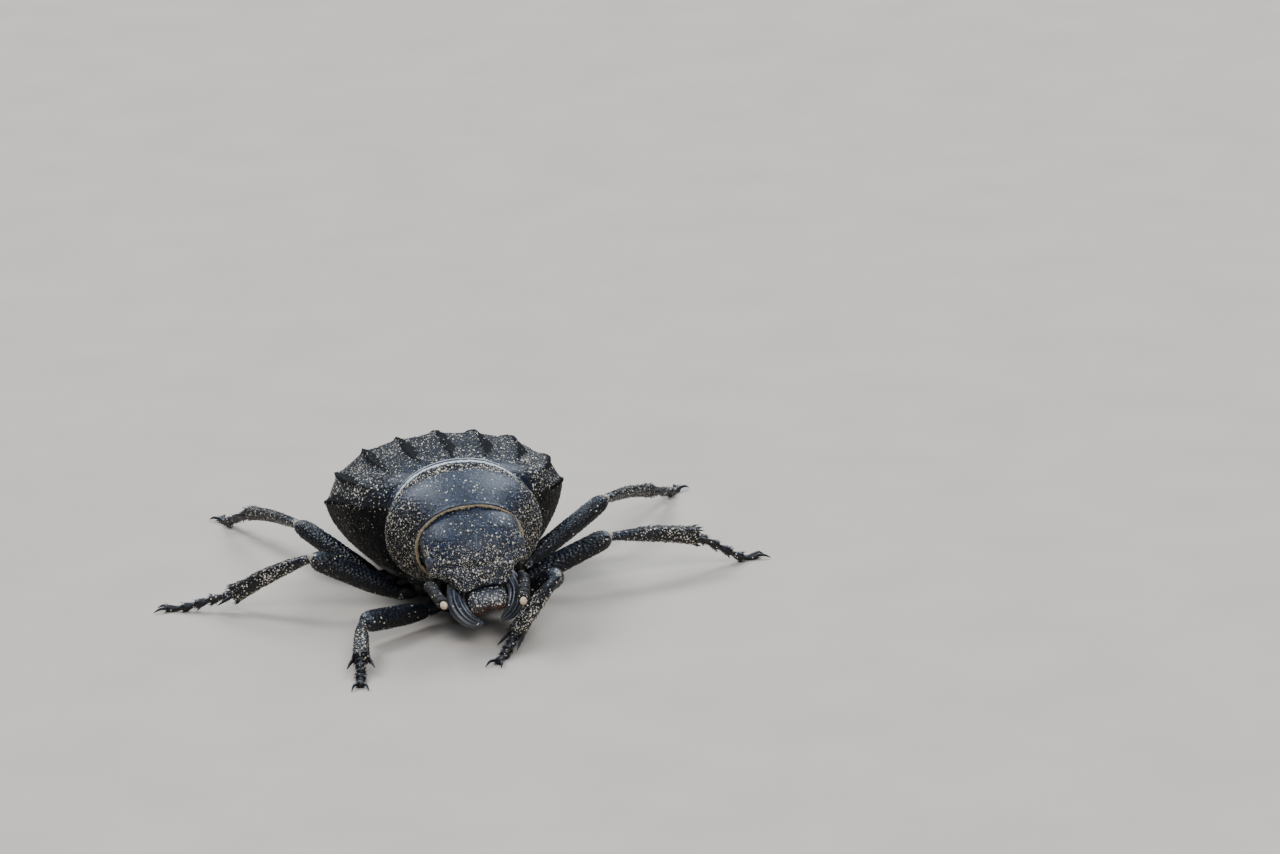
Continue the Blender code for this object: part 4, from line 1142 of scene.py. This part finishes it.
def coxa_and_ring(tag, pair, side, hip, ahead, seed):
    """The hip joint and the small ring (trochanter) that joins it to the femur."""
    centre = COXA_CENTRES[pair] * np.array([side, 1, 1])
    form = ball(round(3.0 / STEP), round(4.4 / STEP), 0.03)[..., [0, 2, 1]]
    skin = centre + form * (np.array(COXA_RADII[pair]) - 0.02)
    height = 0.015 * scales(skin, 0.13, seed, np.array([1.0, 0, 0])) + 0.012 * noise(skin, 0.5, seed + 1)
    inward = centre + unit(hip - centre) * 0.35
    path = [inward, (inward + hip) / 2, hip + ahead * 0.35]
    ring = tube(path, [(0, 0.34), (0.55, 0.40), (1, 0.33)], round(1.8 / STEP), 56)
    shape = Shape().grid(raised(skin, height)).grid(raised(ring, 0.012 * noise(ring, 0.2, seed + 2)))
    shape.piece(f"hip_{tag}", LEG, [f"coxa_{tag}"], "leg")


def femur(tag, hip, ahead, size, radius, seed, hair):
    """The thigh, with scale-like sculpture, narrowed to the knee."""
    profile = [(0, 0.30), (0.12, 0.45), (0.38, 0.98 * radius), (0.6, radius), (0.86, 0.98 * radius)]
    profile += [(0.93, 0.88 * radius), (0.975, 0.66 * radius), (1, 0.4 * radius)]
    end = size - 0.05
    t = along_limb(round(1.15 * size / STEP))
    width = smooth(profile, t)
    path = [hip, hip + ahead * end / 2, hip + ahead * end]
    form = limb(path, width, 0.92 * width, round(THIGH_GIRTH / STEP))
    scaly = scales(form, 0.16, seed + 3, ahead)
    plain = step(t, 0.03, 0.12) * (1 - 0.7 * step(t, 0.9, 1))
    skin = raised(form, 0.055 * (scaly - 1) * plain + 0.02 * noise(form, 0.8, seed + 4))
    # Painted shade in the grooves between the scales, and a painted sky sheen on them that turns into painted
    # highlights near the ends.
    shape = Shape().grid(skin, 0.02 + 0.05 * step(t, 0.7, 0.9), 1.6 * scaly - 1.0 * plain, (0.0, 0.1))
    shape.piece(f"thigh_{tag}", LEG, [f"femur_{tag}"], "leg")
    tufts(hair, skin, 1.0, ahead, count=260, seed=seed + 5, lift=0.3, lengths=(0.06, 0.13), width=0.013)


def knee_skin(tag, knee, thigh_way, shin_way, size):
    """The pale membrane between femur and tibia."""
    path = [knee - thigh_way * 0.35, knee - thigh_way * 0.08, knee + shin_way * 0.2]
    form = tube(path, [(0, 0.18 * size), (0.5, 0.22 * size), (1, 0.12 * size)], 30, 36)
    skin = raised(form, 0.01 * noise(form, 0.1, 90))
    Shape().grid(skin).piece(f"knee_membrane_{tag}", MEMBRANE)


def edge_along(turn, place, width):
    """1 at an angle round a limb, and less to either side of it."""
    return bell(np.angle(np.exp(1j * (turn - place))), width)


def tibia(tag, knee, ankle, thigh_way, radius, sticky, seed, hair, spines):
    """The shin: slim and bent at the knee, keeled and rasp-like, with a crown of spines and two spurs."""
    way = unit(ankle - knee)
    path = [knee - thigh_way * 0.14, knee + way * 0.6, knee + (ankle - knee) * 0.55 + (0, 0, 0.1), ankle]
    profile = [(0, 0.18), (0.12, 0.23), (0.3, 0.26), (0.6, 0.36 * radius / SHIN_END)]
    profile += [(0.88, 0.9 * radius), (1, radius)]
    t = along_limb(round(1.15 * np.linalg.norm(ankle - knee) / STEP))
    width = smooth(profile, t)
    columns = round(SHIN_GIRTH / STEP)
    form = limb(path, width, 0.92 * width, columns)
    turn = turns(columns) - pi / 2  # from the top
    keel = edge_along(turn, 0.65, 0.22) + edge_along(turn, -0.65, 0.22)
    lower = step(t, 0.25, 0.7)
    grain = granules(form, 0.13, seed + 6, 0.46)
    height = lower * (0.05 * keel - 0.05 * edge_along(turn, 0, 0.35)) + (0.02 + 0.022 * lower) * grain
    skin = raised(form, height)
    dusty = dusty_patches(form, 0.8, seed + 7, 0.55)
    speck = (0.15 + 0.75 * sticky * dusty) * (0.35 + 0.65 * lower)
    # Painted sky sheen and faint painted highlights on the granules, and painted shade between them on the
    # lower shin.
    shape = Shape().grid(skin, speck, 1.2 * grain - 0.7 * lower, (0.0, 0.03))
    across = unit(np.cross(way, (0, 0, 1)))
    for lean in (1, -1):
        root = ankle + across * (lean * 0.62 * radius) - way * 0.2
        tip = root + way + across * (lean * 0.42)
        tip[2] = max(tip[2] - 0.12, 0.14)
        shape.grid(tube([root, (root + tip) / 2 + across * lean * 0.05, tip], SPUR_RADII, 26, 20))
    shape.piece(f"shin_{tag}", LEG, [f"tibia_{tag}"], "leg")
    crown = {"count": 34, "lift": 0.45, "lengths": (0.2, 0.34), "width": 0.06, "sides": 5}
    rasp = {"count": 150, "lift": 0.55, "lengths": (0.12, 0.2), "width": 0.04, "sides": 4}
    tufts(spines, skin, step(t, 0.965, 0.985), way, seed=seed + 8, droop=0.1, **crown)
    tufts(spines, skin, (lower + 0.15) * (0.35 + keel), way, seed=seed + 9, droop=0.1, **rasp)
    fine = {"count": 420, "lift": 0.5, "lengths": (0.09, 0.18), "width": 0.014}
    tufts(hair, skin, 0.4 + lower + keel, way, seed=seed + 10, **fine)
    dust(skin, lower + 0.1, count=130, seed=seed + 11, sizes=(0.03, 0.07))


def tarsus(tag, ankle, toe, joints, way, seed, hair, spines):
    """The foot: short joints that widen to their ends, a long claw joint on the floor and two claws."""
    level = unit(way * (1, 1, 0))
    start = ankle - unit(toe - ankle) * 0.12
    bend = toe - level * LYING_LENGTH
    knots = np.array(joints)
    t = along_limb(round(1.6 * np.linalg.norm(toe - start) / STEP))
    i, s = along_joints(t, knots)
    short_joint = 0.13 + 0.12 * step(s, 0.0, 0.75) - 0.07 * step(s, 0.88, 1.0)
    claw_joint = 0.12 + 0.09 * step(s, 0.0, 0.9) - 0.03 * step(s, 0.93, 1.0)
    radius = np.where(i == len(knots) - 2, claw_joint, short_joint)
    form = limb([start, (start + bend) / 2, bend, toe - level * 0.1], radius, 0.95 * radius, 48)
    skin = raised(form, 0.014 * granules(form, 0.09, seed + 12, 0.7) - 0.01)
    skin[..., 2] = np.maximum(skin[..., 2] - 0.04 * step(t, 0.75, 0.95), FLOOR_Z)
    shape = Shape().grid(skin, 0.12, 0.0, (0.0, 0.04))
    across = unit(np.cross(way, (0, 0, 1)))
    for lean in (1, -1):
        root = toe + across * (lean * 0.07) - level * 0.22
        tip = toe + level * 0.5 + across * (lean * 0.42)
        root[2], tip[2] = TOE_Z, 0.05
        middle = (root + tip) / 2 + (0, 0, 0.10) + across * (lean * 0.06)
        shape.grid(tube([root, middle, tip], CLAW_RADII, 26, 18))
    shape.piece(f"foot_{tag}", LEG, [f"tarsus_{tag}"], "leg")
    below = np.where(skin[..., 2] < skin[..., 2].mean(1, keepdims=True), 1.0, 0.35)
    tips = bell(nearest(t, knots[1:] - 0.03), 0.022)
    bristles = {"count": 110, "lift": 0.8, "lengths": (0.14, 0.26), "width": 0.034, "sides": 4}
    tufts(spines, skin, tips * below, way, seed=seed + 13, droop=0.1, **bristles)
    tufts(hair, skin, 1.0, way, count=330, seed=seed + 14, lift=0.6, lengths=(0.07, 0.15), width=0.013)


# --- floor, light and camera ---
FLOOR_COLOURS = (0.55, 0.475, 0.40), (0.585, 0.51, 0.435)
FLOOR_REACH = 3  # metres to each side
SKY = (0.78, 0.87, 1.0, 1.0)
SKY_STRENGTH = 0.10
SUNS = {  # the way to each, its spread in degrees, its strength and its colour
    "key": ((-0.6, 0.8, 1.1), 24, 2.0, (0.86, 0.93, 1.0)),
    "key_left": ((0.75, 0.9, 1.0), 28, 1.9, (0.80, 0.90, 1.0)),
    "sky_light": ((-0.1, 0.25, 1.0), 80, 1.6, (0.66, 0.81, 1.0)),
    "fill": ((0.15, -1.0, 0.9), 30, 2.0, (0.88, 0.93, 1.0)),
}
SUN_PLACES = 0.3  # from the origin, in metres. A sun lights the same from anywhere.
CAMERA_TURN, CAMERA_RISE, CAMERA_ROLL = radians(-9.3), radians(16), radians(-3)
CAMERA_DISTANCE = 0.300  # in metres, as are the next three
VIEW_WIDTH = 0.064  # at the beetle
VIEW_CENTRE = (0.009, 0.0047)  # right of the beetle and above it
AIM_HEIGHT = 0.0046
SENSOR = 36  # millimetres
CLIP_START = 0.01


def place(name, data, right, up, back, spot):
    """A new object at spot with those directions as its axes."""
    thing = bpy.data.objects.new(name, data)
    thing.matrix_world = Matrix(np.column_stack([right, up, back, spot]).tolist()).to_4x4()
    bpy.context.scene.collection.objects.link(thing)
    return thing


def floor():
    """A plain floor of the colour of sand."""
    mesh = bpy.data.meshes.new("floor")
    corners = [(x * FLOOR_REACH, y * FLOOR_REACH, FLOOR_Z) for x, y in ((-1, -1), (1, -1), (1, 1), (-1, 1))]
    mesh.from_pydata(corners, [], [(0, 1, 2, 3)])
    paint = Paint("floor", 0.2)
    shade = paint.blend(paint.range(paint.noise(6.0, 3.0), 0.3, 0.7), *FLOOR_COLOURS)
    mesh.materials.append(paint.finish(shade, paint.range(paint.noise(3.0), 0.3, 0.7, 0.75, 0.85)))
    place("floor", mesh, *np.eye(3), np.zeros(3))


def light():
    """A dim sky and four soft suns."""
    world = bpy.data.worlds.new("sky")
    bpy.context.scene.world = world
    world.use_nodes = True
    sky = world.node_tree.nodes["Background"]
    sky.inputs["Color"].default_value = SKY
    sky.inputs["Strength"].default_value = SKY_STRENGTH
    for name, (way, spread, power, colour) in SUNS.items():
        sun = bpy.data.lights.new(name, "SUN")
        sun.angle, sun.energy, sun.color = radians(spread), power, colour
        back = unit(np.array(way))
        right = unit(np.cross((0, 0, 1), back))
        place(name, sun, right, np.cross(back, right), back, np.array(way) * SUN_PLACES)


def camera():
    """A camera low in front of the beetle, a little to its right and rolled."""
    a, e, r = CAMERA_TURN, CAMERA_RISE, CAMERA_ROLL
    back = np.array([sin(a) * cos(e), -cos(a) * cos(e), sin(e)])
    level = np.array([cos(a), sin(a), 0])
    steep = np.cross(back, level)
    right, up = level * cos(r) + steep * sin(r), steep * cos(r) - level * sin(r)
    target = SHIFT * MM + (0, 0, AIM_HEIGHT) + right * VIEW_CENTRE[0] + up * VIEW_CENTRE[1]
    lens = bpy.data.cameras.new("camera")
    lens.sensor_width = SENSOR
    lens.lens = SENSOR * CAMERA_DISTANCE / VIEW_WIDTH
    lens.clip_start = CLIP_START
    spot = target + back * CAMERA_DISTANCE
    bpy.context.scene.camera = place("camera", lens, right, up, back, spot)


ELYTRON, PAST_RIB = elytron_form()
for side_name, side in SIDES.items():
    wing_case(side_name, side, ELYTRON, PAST_RIB)
pronotum()
head()
eyes()
upper_lip()
for side_name, side in SIDES.items():
    jaw(side_name, side)
    palp(side_name, side)
for side_name, side in SIDES.items():
    feeler(side_name, side)
venter("breast", -0.5, PLATE_EDGES[0] + 0.05, "pterothorax")
venter("belly", PLATE_EDGES[0], 13.1, "abdomen")
for side_name, pair in LEG_POSE:
    leg(side_name, pair)
DUST.piece("sand_dust", SAND, flat=True)
floor()
light()
camera()
